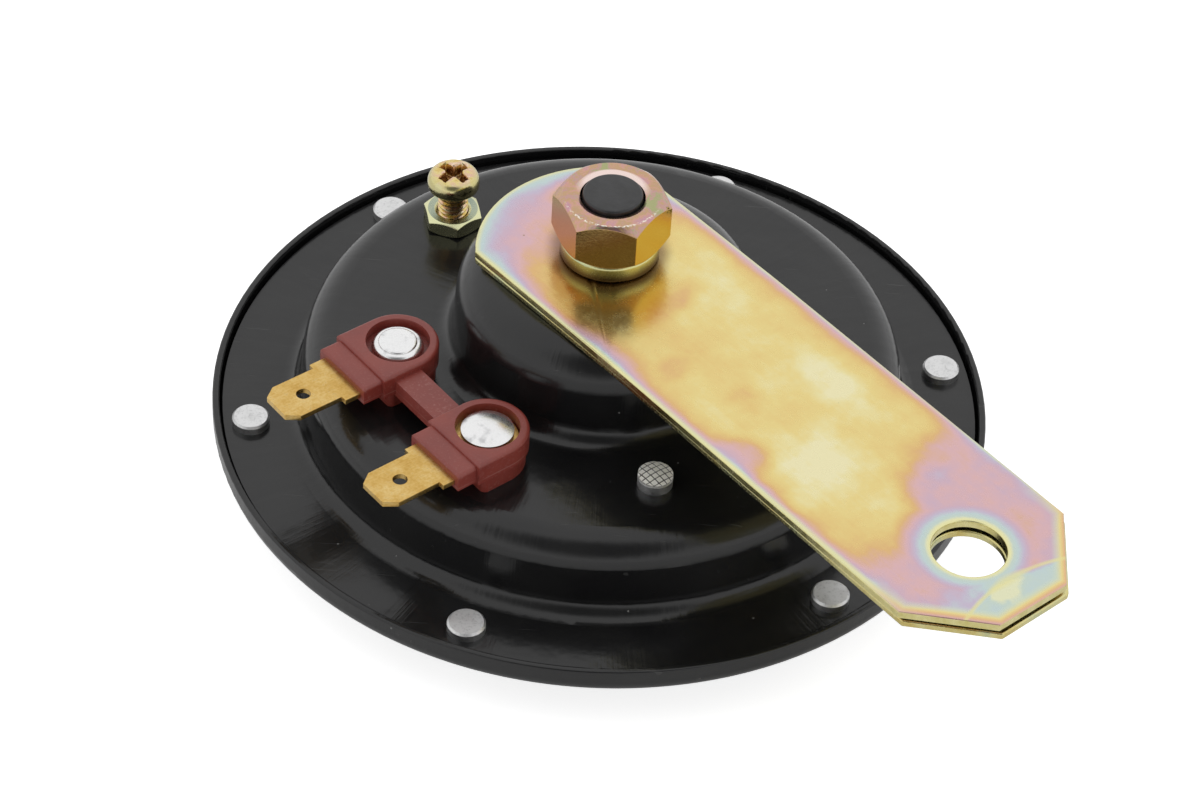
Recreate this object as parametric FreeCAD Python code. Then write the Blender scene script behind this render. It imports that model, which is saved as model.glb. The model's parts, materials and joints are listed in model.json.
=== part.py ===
# Disc horn for a vehicle: a pressed steel shell with a coil, an armature on a spring
# diaphragm, a contact breaker, and a two-leaf bracket clamped on its rear stud.
# The horn's axis is Z. Z = 0 is the flat front of the cover, and +Z points to the bracket.
import FreeCAD, Part

import math
import os

V = FreeCAD.Vector
AXIS = V(0, 0, 1)
CENTRE = V(0, 0, 0)
SAME = 1e-6                # places nearer than this are the same place

# Clearances
FIT = 0.05                 # around a shaft, rivet or pin in its hole
HOLE_PLAY = 0.2            # around the stud in the bracket
RIM_PLAY = 0.4             # between the shell's flange and the cover's rim
BEND_PLAY = 0.2            # from a flat ring's edge to the bend beside it
FRONT_PLAY = 0.7           # between the armature's shank and the cover
CUT_PAST = 1.0             # how far a cutting shape passes the face that it cuts

# Front cover, which wraps the flange with its upturned rim
COVER_R = 50.0
COVER_WALL = 0.9
COVER_RIM_RISE = 1.15      # rim above the flange
COVER_RIM_BEND = 2.0
COVER_RIM_ROUND = 0.3      # broken edges at the rim's top
COVER_SEAT_MARGIN = 1.1    # flat rim inside the gasket
COVER_DISH_RUN = 6.9       # how far the dish leans in on its way to the front
COVER_BEND = 1.8
SLOT_COUNT = 16
SLOT_WIDTH = 2.6
SLOT_START_R = 14.0
SLOT_END_MARGIN = 4.0      # from the slots' outer end to the edge of the flat front

# Rim joint
GASKET_THICK = 0.3
DIAPHRAGM_THICK = 0.3
SEAL_WIDE = 5.3
RIVET_INSET = 2.55         # a rivet's centre inside the seal's outer edge
RIVET_COUNT = 6
RIVET_FIRST_ANGLE = 191.4
RIVET_SHANK_R = 1.6
RIVET_HEAD_R = 2.4
RIVET_HEAD_HIGH = 1.2
RIVET_CROWN = 0.25         # broken edge of a rivet head
RIVET_TAIL_R = 2.2
RIVET_TAIL_TIP_R = 1.7
RIVET_TAIL_HIGH = 0.9

# Diaphragm corrugation
WAVE_MARGIN = 4.5          # inside the seal
WAVE_WIDE = 5.0
WAVE_DEPTH = 0.7
WAVE_BEND = 2.0

# Rear shell, along its outer surface
SHELL_WALL = 1.0
DOME_MARGIN = 3.5          # from the seal's inner edge to the dome's foot
DOME_DRAFT = 0.9
DOME_HEIGHT = 10.5         # flange to plateau
PLATEAU_WIDE = 18.6        # dome's edge to the tower's foot
TOWER_DRAFT = 0.7
TOWER_HEIGHT = 23.0        # flange to the top of the tower
DOME_FOOT_BEND = 2.4
DOME_TOP_BEND = 4.0
TOWER_FOOT_BEND = 2.4
TOWER_TOP_BEND = 5.5

# Stud, pole core, nut and washer
STUD_R = 4.0
STUD_ROUND = 1.0
STUD_PROUD = 0.3           # stud above the nut
CORE_R = 6.0
CORE_PROUD = 0.3           # core below the coil's clip
NUT_FLATS = 13.0
NUT_HIGH = 6.8
NUT_TURN = -4.0
NUT_SINK = 0.5             # countersink round the nut's thread
NUT_FACE_SHARE = 0.95      # a nut's flat ring, as a share of its width across flats
NUT_CHAMFER_ANGLE = 42.0
SMALL_NUT_CHAMFER_ANGLE = 30.0
WASHER_R = 6.25
WASHER_THICK = 2.5
WASHER_ROUND = 0.5
WASHER_SPLIT = 0.8
WASHER_SPLIT_LEAN = 0.7    # how far the cut leans to each side of upright
WASHER_SPLIT_ANGLE = 125.0

# Bracket leaves
LEAF_THICK = 1.0
LEAF_ROUND = 0.25          # rolled upper edge of the blanked sheet
BRACKET_ANGLE = -47.3      # direction from the stud to the mounting hole
BRACKET_HALF_WIDE = 13.4
BRACKET_HEAD_R = 16.8
BRACKET_HOLE_AT = 65.2     # stud to mounting hole
BRACKET_HOLE_R = 4.5
BRACKET_END_MARGIN = 11.1  # hole's centre to the free end
BRACKET_CHAMFER_LONG = 8.6
BRACKET_CHAMFER_WIDE = 8.0
LEAF_FLAT_TO = 17.0        # the leaves lie level up to here
LEAF_BEND = 150.0          # radius of the slight bend there
LEAF_DROP = 1.1            # how much lower the upper leaf's free end lies
LEAF_SPREAD = 1.0          # gap between the leaves at their free end
UPPER_LEAF_TURN = -0.2     # degrees that the upper leaf is out of line with its hole
LOWER_LEAF_TURN = 0.35

# Places on the plateau
FITTING_MARGIN = 7.8       # from the tower's foot to the circle of rivets
SCREW_MARGIN = 8.5         # from the dome's edge to the adjusting screw
SCREW_ANGLE = 134.8
BREAKER_ANGLE = -74.2
BLOCK_ANGLE = -140.0
LEAD_TAG_ANGLE = -58.0     # where the coil's second lead meets the breaker's spring

# Adjusting screw and its lock nut
SCREW_R = 2.0
SCREW_HEAD_R = 3.4
SCREW_HEAD_HIGH = 2.6
SCREW_HEAD_UP = 6.1        # underside of the head above the plateau
SCREW_HEAD_CROWN = 0.5
SCREW_HEAD_ROUND = 1.5
SCREW_CROSS_LONG = 3.8
SCREW_CROSS_WIDE = 1.3
SCREW_CROSS_DEEP = 1.6
SCREW_CROSS_TURN = 43.0
SCREW_PAD_R = 2.6          # fibre pad that keeps the screw off the live plate
SCREW_PAD_THICK = 0.8
LOCK_NUT_FLATS = 7.0
LOCK_NUT_HIGH = 2.2
LOCK_NUT_SINK = 0.3
LOCK_NUT_TURN = 44.0

# Spade terminals
SPADE_THICK = 0.8
SPADE_HALF_WIDE = 3.15
SPADE_SHOULDER_STEP = 0.85
SPADE_SHOULDER_OUT = 2.2   # shoulder beyond the block's lip
SPADE_LONG = 7.7           # shoulder to tip
SPADE_TIP_CHAMFER_LONG = 1.6
SPADE_TIP_CHAMFER_WIDE = 1.15
SPADE_HOLE_INSET = 4.1     # tip to hole
SPADE_HOLE_R = 0.9

# Terminal block: two eyelets and the bar that joins them
EYELET_HALF_PITCH = 9.5
EYELET_WALL = 1.15
EYELET_HIGH = 5.5
EYELET_STEP_OUT = 0.5      # step of the lip beyond the eyelet's radius
LIP_ROOT = 1.0             # how far the lip runs back into the eyelet
LIP_LONG = 2.8
LIP_SIDE_STEP = 0.45
LIP_DROP = 0.5
LIP_UNDER = 0.5            # lip below the spade
RECESS_DEEP = 2.4
BAR_START = 0.1
BAR_WIDE = 3.9
BAR_DROP = 1.0
BAR_THICK = 2.4
BLOCK_ROUND = 0.5
FOOT_HIGH = 2.4            # from the plateau to the moulding's parting line
FOOT_INSET = 0.35          # foot inside the eyelet at its back and sides
FOOT_END_INSET = 1.1       # and under the lip
FOOT_ROUND = 0.8
RIGHT_EYELET_TURN = 1.0    # degrees that the right eyelet stands out of line
RIGHT_EYELET_SHORT = 0.45  # its lip ends nearer to the rivet
RIGHT_SPADE_SHORT = 1.0    # and so does its tab

# Terminal rivets and their bushes
TERMINAL_RIVET_R = 1.7
RIGHT_HEAD_R = 3.3
RIGHT_HEAD_EDGE = 1.1      # upright edge of a head
RIGHT_HEAD_HIGH = 1.75
LEFT_HEAD_R = 3.05
LEFT_HEAD_EDGE = 0.5
LEFT_SLOPE_WIDE = 0.5      # slope from the left head's edge up to its ledge
LEFT_LEDGE_UP = 1.35       # ledge above the tab
LEFT_DISC_R = 2.4          # disc on the ledge
LEFT_DISC_HIGH = 0.15
LEFT_HEAD_HIGH = 1.7
INNER_TAIL_R = 2.6
INNER_TAIL_TIP_R = 2.1
INNER_TAIL_HIGH = 1.0
BUSH_R = 4.0
BUSH_SLEEVE_R = 2.6
BUSH_THICK = 1.0

# Contact breaker, hung under the plateau
BREAKER_RIVET_R = 1.6
BREAKER_HEAD_R = 2.2
BREAKER_HEAD_HIGH = 1.5
PAD_R = 4.2
UPPER_PAD_THICK = 0.8
LOWER_PAD_THICK = 2.1
SPRING_THICK = 0.3
SPRING_LONG = 12.0
SPRING_TAG_HALF = 1.2
ARM_PLAY = 0.6             # between the arm and the right rivet's bush
ARM_THICK = 0.8
ARM_HALF_WIDE = 3.0
ARM_START = 6.5
ARM_END = 25.0
TONGUE_HALF_WIDE = 2.5
TONGUE_LAP = 2.5           # tongue over the armature's flange
CONTACT_AT = 22.4
CONTACT_R = 1.5
CONTACT_GAP = 0.05
FIXED_CONTACT_HIGH = 0.6
PLATE_THICK = 1.0
PLATE_INSET = 4.5          # plate's inner edge inside the circle of rivets
PLATE_PAST_SCREW = 2.0
PLATE_END_MARGIN = 10.0    # degrees past the rivet and past the screw
PLATE_TONGUE_MARGIN = 1.0  # plate beyond the fixed contact
PLATE_TONGUE_HALF = 3.0
TAIL_WASHER_THICK = 0.6

# Coil
BOBBIN_WALL = 1.0
BOBBIN_PLAY = 1.2          # between the breaker's spring and the bobbin
BOBBIN_SIDE_PLAY = 1.3     # between the tower's foot and the bobbin's lower flange
BOBBIN_TOP_INSET = 3.2     # room for the tower's upper bend
BOBBIN_TOP_GAP = 0.4
COIL_INSET = 0.4           # winding inside the bobbin's upper flange
CLIP_R = 8.5
CLIP_THICK = 0.6
LEAD_R = 0.4
LEAD_BEND = 0.8
LEAD_SIDE_PLAY = 0.5       # lead beyond the bobbin's lower flange

# Armature, tone disc and their fastening
ARMATURE_GAP = 0.7         # air gap between armature and core at rest
ARMATURE_BOSS_R = 6.5
ARMATURE_FLANGE_R = 13.0
ARMATURE_FLANGE_THICK = 2.2
ARMATURE_PUSH_GAP = 0.05   # armature flange below the breaker arm's tongue
ARMATURE_SEAT_R = 8.5
SHANK_R = 3.0
SPACER_R = 8.0
SPACER_THICK = 2.0
TONE_DISC_MARGIN = 2.0     # disc's edge inside the edge of the flat front
TONE_DISC_THICK = 1.0
TONE_DISC_HUB_R = 12.0
TONE_DISC_DISH = 0.8
TONE_DISC_BEND = 6.0
HUB_NUT_FLATS = 10.0
HUB_NUT_HIGH = 3.0
SHANK_PROUD = 0.3

# Radii that follow
FLANGE_R = COVER_R - COVER_WALL - RIM_PLAY
SEAL_OUTER_R = COVER_R - COVER_RIM_BEND - BEND_PLAY
SEAL_INNER_R = SEAL_OUTER_R - SEAL_WIDE
RIVET_PITCH_R = SEAL_OUTER_R - RIVET_INSET
COVER_SEAT_R = SEAL_INNER_R - COVER_SEAT_MARGIN
COVER_FACE_R = COVER_SEAT_R - COVER_DISH_RUN
SLOT_END_R = COVER_FACE_R - SLOT_END_MARGIN
TONE_DISC_R = COVER_FACE_R - TONE_DISC_MARGIN
WAVE_OUTER_R = SEAL_INNER_R - WAVE_MARGIN
WAVE_INNER_R = WAVE_OUTER_R - WAVE_WIDE
DOME_BASE_R = SEAL_INNER_R - DOME_MARGIN
DOME_TOP_R = DOME_BASE_R - DOME_DRAFT
TOWER_BASE_R = DOME_TOP_R - PLATEAU_WIDE
TOWER_TOP_R = TOWER_BASE_R - TOWER_DRAFT
FITTING_R = TOWER_BASE_R + FITTING_MARGIN
SCREW_PITCH_R = DOME_TOP_R - SCREW_MARGIN
BLOCK_R = math.sqrt(FITTING_R ** 2 - EYELET_HALF_PITCH ** 2)
PLATE_INNER_R = FITTING_R - PLATE_INSET
PLATE_OUTER_R = SCREW_PITCH_R + PLATE_PAST_SCREW
BOBBIN_LOW_R = TOWER_BASE_R - SHELL_WALL - BOBBIN_SIDE_PLAY
BOBBIN_TOP_R = TOWER_TOP_R - SHELL_WALL - BOBBIN_TOP_INSET
COIL_R = BOBBIN_TOP_R - COIL_INSET
TONGUE_TIP_R = ARMATURE_FLANGE_R - TONGUE_LAP

# Distances along the bracket and along a terminal
BRACKET_END_AT = BRACKET_HOLE_AT + BRACKET_END_MARGIN
BRACKET_CHAMFER_AT = BRACKET_END_AT - BRACKET_CHAMFER_LONG
BRACKET_END_HALF = BRACKET_HALF_WIDE - BRACKET_CHAMFER_WIDE
SPADE_SHOULDER_HALF = SPADE_HALF_WIDE + SPADE_SHOULDER_STEP
RECESS_R = SPADE_SHOULDER_HALF + FIT
EYELET_R = RECESS_R + EYELET_WALL
EYELET_STEP_AT = EYELET_R + EYELET_STEP_OUT
LIP_END_AT = EYELET_STEP_AT + LIP_LONG
LIP_HALF_WIDE = EYELET_R - LIP_SIDE_STEP
SPADE_SHOULDER_AT = LIP_END_AT + SPADE_SHOULDER_OUT
SPADE_TIP_AT = SPADE_SHOULDER_AT + SPADE_LONG

# Heights that follow, from the front up
SHANK_END_Z = COVER_WALL + FRONT_PLAY
HUB_NUT_LOW = SHANK_END_Z + SHANK_PROUD
TONE_DISC_LOW = HUB_NUT_LOW + HUB_NUT_HIGH
SPACER_LOW = TONE_DISC_LOW + TONE_DISC_THICK
DIAPHRAGM_LOW = SPACER_LOW + SPACER_THICK
DIAPHRAGM_TOP = DIAPHRAGM_LOW + DIAPHRAGM_THICK
COVER_SEAT_Z = DIAPHRAGM_LOW - GASKET_THICK
COVER_RIM_LOW = COVER_SEAT_Z - COVER_WALL
FLANGE_UNDER = DIAPHRAGM_TOP + GASKET_THICK
FLANGE_Z = FLANGE_UNDER + SHELL_WALL
PLATEAU_Z = FLANGE_Z + DOME_HEIGHT
PLATEAU_UNDER = PLATEAU_Z - SHELL_WALL
TOWER_Z = FLANGE_Z + TOWER_HEIGHT
TOWER_UNDER = TOWER_Z - SHELL_WALL
LOWER_LEAF_TOP = TOWER_Z + LEAF_THICK
BRACKET_TOP = LOWER_LEAF_TOP + LEAF_THICK
WASHER_TOP = BRACKET_TOP + WASHER_THICK
NUT_TOP = WASHER_TOP + NUT_HIGH
EYELET_TOP = PLATEAU_Z + EYELET_HIGH
PARTING_Z = PLATEAU_Z + FOOT_HIGH
RECESS_FLOOR = EYELET_TOP - RECESS_DEEP
SPADE_TOP = RECESS_FLOOR + SPADE_THICK

# Heights that follow, from the plateau down
SPRING_TOP = PLATEAU_UNDER - UPPER_PAD_THICK
SPRING_LOW = SPRING_TOP - SPRING_THICK
ARM_LOW = SPRING_LOW - ARM_THICK
PLATE_TOP = SPRING_LOW - LOWER_PAD_THICK
PLATE_LOW = PLATE_TOP - PLATE_THICK
TAIL_TOP = PLATE_LOW - TAIL_WASHER_THICK
BOBBIN_LOW = SPRING_TOP + BOBBIN_PLAY
COIL_LOW = BOBBIN_LOW + BOBBIN_WALL
BOBBIN_TOP = TOWER_UNDER - BOBBIN_TOP_GAP
COIL_TOP = BOBBIN_TOP - BOBBIN_WALL
CLIP_LOW = BOBBIN_LOW - CLIP_THICK
CORE_LOW = CLIP_LOW - CORE_PROUD
ARMATURE_TOP = CORE_LOW - ARMATURE_GAP
ARMATURE_FLANGE_TOP = ARM_LOW - ARMATURE_PUSH_GAP
ARMATURE_FLANGE_LOW = ARMATURE_FLANGE_TOP - ARMATURE_FLANGE_THICK


def polar(radius, angle, z=0.0):
    """A point at a radius and an angle in degrees about the horn's axis."""
    turn = math.radians(angle)
    return V(radius * math.cos(turn), radius * math.sin(turn), z)


def disc(radius, low, high, centre=CENTRE):
    """An upright round bar between two heights."""
    return Part.makeCylinder(radius, high - low, V(centre.x, centre.y, low))


def tube(outer, inner, low, high, centre=CENTRE):
    """An upright ring between two heights."""
    return disc(outer, low, high, centre).cut(disc(inner, low, high, centre))


def slab(points, low, high):
    """A flat plate with the outline of points given as (x, y)."""
    outline = Part.makePolygon([V(x, y, low) for x, y in points + points[:1]])
    return Part.Face(outline).extrude(V(0, 0, high - low))


def turned(profile):
    """A body turned about the axis from (radius, z) points."""
    outline = Part.makePolygon([V(r, 0, z) for r, z in profile + profile[:1]])
    return Part.Face(outline).revolve(CENTRE, AXIS, 360)


def placed(shape, angle, x=0.0, y=0.0):
    """The shape moved to x, y and then turned about the horn's axis."""
    moved = shape.copy()
    moved.translate(V(x, y, 0))
    moved.rotate(CENTRE, AXIS, angle)
    return moved


def hexagon(flats, bore, low, high, top_angle, low_angle):
    """A hexagon nut with its corners turned off at the angles given, 0 for a sharp face."""
    corner = flats / math.sqrt(3.0)
    points = [(corner * math.cos(math.radians(a)), corner * math.sin(math.radians(a)))
              for a in range(0, 360, 60)]
    body = slab(points, low, high)
    face_r = flats / 2.0 * NUT_FACE_SHARE
    profile = [(0, low)]
    if low_angle:
        drop = (corner - face_r) * math.tan(math.radians(low_angle))
        profile += [(face_r, low), (corner, low + drop)]
    else:
        profile.append((corner, low))
    if top_angle:
        drop = (corner - face_r) * math.tan(math.radians(top_angle))
        profile += [(corner, high - drop), (face_r, high)]
    else:
        profile.append((corner, high))
    profile.append((0, high))
    return body.common(turned(profile)).cut(disc(bore, low, high))


def countersink(bore, sink, top):
    """The cone to cut from a nut's top face, as deep as it is wide."""
    return turned([(0, top - sink), (bore, top - sink), (bore + sink, top), (0, top)])


def unit(a, b):
    """The direction from one (radius, z) point to another."""
    length = math.hypot(b[0] - a[0], b[1] - a[1])
    return ((b[0] - a[0]) / length, (b[1] - a[1]) / length)


def offset_points(points, distance):
    """The corners of a path moved sideways, to its left for a positive distance."""
    moved = []
    for i, point in enumerate(points):
        before = unit(points[i - 1], point) if i else unit(point, points[1])
        after = unit(point, points[i + 1]) if i + 1 < len(points) else before
        n1, n2 = (-before[1], before[0]), (-after[1], after[0])
        share = distance / (1 + n1[0] * n2[0] + n1[1] * n2[1])
        moved.append((point[0] + (n1[0] + n2[0]) * share, point[1] + (n1[1] + n2[1]) * share))
    return moved


def bent_path(points, bends):
    """Lines through (radius, z) points with an arc at each inner corner."""
    edges = []
    start = points[0]
    for corner, bend, after in zip(points[1:-1], bends, points[2:]):
        d1, d2 = unit(start, corner), unit(corner, after)
        cosine = max(-1.0, min(1.0, d1[0] * d2[0] + d1[1] * d2[1]))
        half = math.acos(cosine) / 2
        reach = bend * math.tan(half)
        enter = (corner[0] - d1[0] * reach, corner[1] - d1[1] * reach)
        leave = (corner[0] + d2[0] * reach, corner[1] + d2[1] * reach)
        inward = unit((0, 0), (d2[0] - d1[0], d2[1] - d1[1]))
        depth = bend / math.cos(half) - bend
        middle = (corner[0] + inward[0] * depth, corner[1] + inward[1] * depth)
        edges.append(Part.LineSegment(V(start[0], 0, start[1]), V(enter[0], 0, enter[1])).toShape())
        edges.append(Part.Arc(V(enter[0], 0, enter[1]), V(middle[0], 0, middle[1]),
                              V(leave[0], 0, leave[1])).toShape())
        start = leave
    end = points[-1]
    edges.append(Part.LineSegment(V(start[0], 0, start[1]), V(end[0], 0, end[1])).toShape())
    return edges


def round_headed(points, top):
    """A body turned from points, the last of them the edge of a round crown."""
    edge_r, edge_z = points[-1]
    rise = top - edge_z
    ball = (edge_r ** 2 + rise ** 2) / (2 * rise)
    middle = V(edge_r / 2, 0, top - ball + math.sqrt(ball ** 2 - edge_r ** 2 / 4))
    corners = [V(r, 0, z) for r, z in points]
    edges = [Part.LineSegment(p, q).toShape() for p, q in zip(corners, corners[1:])]
    edges.append(Part.Arc(corners[-1], middle, V(0, 0, top)).toShape())
    edges.append(Part.LineSegment(V(0, 0, top), corners[0]).toShape())
    return Part.Face(Part.Wire(edges)).revolve(CENTRE, AXIS, 360)


def turns_left(a, b, c):
    """Whether a path through three points bends to its left."""
    d1, d2 = unit(a, b), unit(b, c)
    return d1[0] * d2[1] - d1[1] * d2[0] > 0


def pressed_sheet(points, bends, wall):
    """Sheet metal turned about the axis: a path of its visible surface, given a wall."""
    other = offset_points(points, wall)
    other_bends = [bend - wall if turns_left(*points[i:i + 3]) else bend + wall
                   for i, bend in enumerate(bends)]
    edges = bent_path(points, bends) + bent_path(other, other_bends)
    edges.append(Part.LineSegment(V(points[0][0], 0, points[0][1]),
                                  V(other[0][0], 0, other[0][1])).toShape())
    if points[-1][0] > 0:
        edges.append(Part.LineSegment(V(points[-1][0], 0, points[-1][1]),
                                      V(other[-1][0], 0, other[-1][1])).toShape())
    else:
        edges.append(Part.LineSegment(V(0, 0, points[-1][1]), V(0, 0, other[-1][1])).toShape())
    outline = Part.Wire(Part.__sortEdges__(edges))
    return Part.Face(outline).revolve(CENTRE, AXIS, 360)


def rim_places():
    return [polar(RIVET_PITCH_R, RIVET_FIRST_ANGLE + i * 360.0 / RIVET_COUNT)
            for i in range(RIVET_COUNT)]


def rim_drilled(shape, low, high):
    """The shape with the holes of the rim rivets."""
    for place in rim_places():
        shape = shape.cut(disc(RIVET_SHANK_R + FIT, low, high, place))
    return shape


def eyelet_places():
    """The two terminal rivets, about the horn's axis."""
    return [placed(Part.Vertex(BLOCK_R, side * EYELET_HALF_PITCH, 0), BLOCK_ANGLE).Point
            for side in (-1, 1)]


def arm_angle():
    """The direction in which the breaker arm just passes the right rivet's bush."""
    way = eyelet_places()[1] - breaker_place()
    aside = BUSH_R + ARM_HALF_WIDE + ARM_PLAY
    return math.degrees(math.atan2(way.y, way.x) - math.asin(aside / way.Length))


def screw_place():
    return polar(SCREW_PITCH_R, SCREW_ANGLE)


def breaker_place():
    return polar(FITTING_R, BREAKER_ANGLE)


# Shells and rim joint
def rear_shell():
    path = [(FLANGE_R, FLANGE_Z), (DOME_BASE_R, FLANGE_Z), (DOME_TOP_R, PLATEAU_Z),
            (TOWER_BASE_R, PLATEAU_Z), (TOWER_TOP_R, TOWER_Z), (STUD_R + FIT, TOWER_Z)]
    bends = [DOME_FOOT_BEND, DOME_TOP_BEND, TOWER_FOOT_BEND, TOWER_TOP_BEND]
    shell = pressed_sheet(path, bends, SHELL_WALL)
    shell = rim_drilled(shell, FLANGE_UNDER - CUT_PAST, FLANGE_Z + CUT_PAST)
    holes = [(BUSH_SLEEVE_R, place) for place in eyelet_places()]
    holes += [(SCREW_R, screw_place()), (BREAKER_RIVET_R, breaker_place())]
    for radius, place in holes:
        shell = shell.cut(disc(radius + FIT, PLATEAU_UNDER - CUT_PAST, PLATEAU_Z + CUT_PAST, place))
    return shell


def sound_slot():
    """One radial slot with round ends."""
    half, low, high = SLOT_WIDTH / 2, -CUT_PAST, COVER_WALL + CUT_PAST
    bar = slab([(SLOT_START_R, -half), (SLOT_END_R, -half), (SLOT_END_R, half), (SLOT_START_R, half)],
               low, high)
    return bar.fuse([disc(half, low, high, V(at, 0, 0)) for at in (SLOT_START_R, SLOT_END_R)])


def front_cover():
    rim_top = FLANGE_Z + COVER_RIM_RISE
    path = [(COVER_R, rim_top), (COVER_R, COVER_RIM_LOW), (COVER_SEAT_R, COVER_RIM_LOW),
            (COVER_FACE_R, 0), (0, 0)]
    bends = [COVER_RIM_BEND, COVER_BEND, COVER_BEND]
    cover = pressed_sheet(path, bends, -COVER_WALL)
    cover = rim_drilled(cover, COVER_RIM_LOW - CUT_PAST, COVER_SEAT_Z + CUT_PAST)
    slot = sound_slot()
    for i in range(SLOT_COUNT):
        cover = cover.cut(placed(slot, i * 360.0 / SLOT_COUNT))
    edges = [e for e in cover.Edges if abs(e.BoundBox.ZMin - rim_top) < SAME]
    return cover.makeFillet(COVER_RIM_ROUND, edges)


def flange_rivets():
    """Round-headed rivets with their formed tails in front of the cover."""
    head_top = FLANGE_Z + RIVET_HEAD_HIGH
    tail_low = COVER_RIM_LOW - RIVET_TAIL_HIGH
    profile = [(0, tail_low), (RIVET_TAIL_TIP_R, tail_low), (RIVET_TAIL_R, COVER_RIM_LOW),
               (RIVET_SHANK_R, COVER_RIM_LOW), (RIVET_SHANK_R, FLANGE_Z), (RIVET_HEAD_R, FLANGE_Z),
               (RIVET_HEAD_R, head_top - RIVET_CROWN), (RIVET_HEAD_R - RIVET_CROWN, head_top),
               (0, head_top)]
    rivet = turned(profile)
    return Part.Compound([placed(rivet, 0, p.x, p.y) for p in rim_places()])


def gasket(low):
    ring = tube(SEAL_OUTER_R, SEAL_INNER_R, low, low + GASKET_THICK)
    return rim_drilled(ring, low - CUT_PAST, low + GASKET_THICK + CUT_PAST)


def diaphragm():
    middle = (WAVE_INNER_R + WAVE_OUTER_R) / 2
    path = [(SEAL_OUTER_R, DIAPHRAGM_TOP), (WAVE_OUTER_R, DIAPHRAGM_TOP),
            (middle, DIAPHRAGM_TOP - WAVE_DEPTH), (WAVE_INNER_R, DIAPHRAGM_TOP),
            (SHANK_R + FIT, DIAPHRAGM_TOP)]
    sheet = pressed_sheet(path, [WAVE_BEND] * 3, DIAPHRAGM_THICK)
    return rim_drilled(sheet, DIAPHRAGM_LOW - CUT_PAST, DIAPHRAGM_TOP + CUT_PAST)


# Stud, bracket and nut
def pole_core():
    """Core and stud turned in one piece. The shoulder between them clamps the tower."""
    top = NUT_TOP + STUD_PROUD
    outline = bent_path([(STUD_R, TOWER_UNDER), (STUD_R, top), (0, top)], [STUD_ROUND])
    corners = [V(0, 0, top), V(0, 0, CORE_LOW), V(CORE_R, 0, CORE_LOW), V(CORE_R, 0, TOWER_UNDER),
               V(STUD_R, 0, TOWER_UNDER)]
    outline += [Part.LineSegment(p, q).toShape() for p, q in zip(corners, corners[1:])]
    return Part.Face(Part.Wire(Part.__sortEdges__(outline))).revolve(CENTRE, AXIS, 360)


def faces_up(face):
    """Whether a face looks up at its middle."""
    u0, u1, v0, v1 = face.ParameterRange
    return face.normalAt((u0 + u1) / 2, (v0 + v1) / 2).z > 0.9


def leaf_outline(low, high):
    """Leaf seen from above: round over the stud, straight sides, chamfered free end."""
    corner = -math.sqrt(BRACKET_HEAD_R ** 2 - BRACKET_HALF_WIDE ** 2)
    start, end = V(corner, -BRACKET_HALF_WIDE, low), V(corner, BRACKET_HALF_WIDE, low)
    side = [end, V(BRACKET_CHAMFER_AT, BRACKET_HALF_WIDE, low), V(BRACKET_END_AT, BRACKET_END_HALF, low),
            V(BRACKET_END_AT, -BRACKET_END_HALF, low), V(BRACKET_CHAMFER_AT, -BRACKET_HALF_WIDE, low),
            start]
    head = Part.Arc(start, V(-BRACKET_HEAD_R, 0, low), end).toShape()
    edges = [head] + [Part.LineSegment(a, b).toShape() for a, b in zip(side, side[1:])]
    return Part.Face(Part.Wire(edges)).extrude(V(0, 0, high - low))


def leaf(top, drop, turn):
    """A leaf that falls away beyond its clamped part. Its two holes are upright."""
    start, end = -BRACKET_HEAD_R - CUT_PAST, BRACKET_END_AT + CUT_PAST
    low = top - LEAF_THICK - 2 * drop
    past = top - drop * (end - LEAF_FLAT_TO) / (BRACKET_END_AT - LEAF_FLAT_TO)
    path = [(start, top), (LEAF_FLAT_TO, top), (end, past)]
    under = offset_points(path, -LEAF_THICK)
    edges = bent_path(path, [LEAF_BEND]) + bent_path(under, [LEAF_BEND - LEAF_THICK])
    edges += [Part.LineSegment(V(p[0], 0, p[1]), V(q[0], 0, q[1])).toShape()
              for p, q in ((path[0], under[0]), (path[-1], under[-1]))]
    sheet = Part.Face(Part.Wire(Part.__sortEdges__(edges))).extrude(V(0, 4 * BRACKET_HALF_WIDE, 0))
    sheet.translate(V(0, -2 * BRACKET_HALF_WIDE, 0))
    outline = placed(leaf_outline(low, top + CUT_PAST), turn)
    for radius, at in ((STUD_R + HOLE_PLAY, 0), (BRACKET_HOLE_R, BRACKET_HOLE_AT)):
        outline = outline.cut(disc(radius, low, top + CUT_PAST, V(at, 0, 0)))
    return sheet.common(outline)


def upper_leaf():
    """The leaf in sight, with the edges of its upper side rolled."""
    sheet = leaf(BRACKET_TOP, LEAF_DROP, UPPER_LEAF_TURN)
    upper = [f for f in sheet.Faces if faces_up(f)]
    edges = [e for f in upper for e in f.Edges]
    rim = [e for e in edges if sum(e.isSame(other) for other in edges) == 1]
    return placed(sheet.makeFillet(LEAF_ROUND, rim), BRACKET_ANGLE)


def lower_leaf():
    """The same blank under it, turned a little, and further down at its free end."""
    return placed(leaf(LOWER_LEAF_TOP, LEAF_DROP + LEAF_SPREAD, LOWER_LEAF_TURN), BRACKET_ANGLE)


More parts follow.
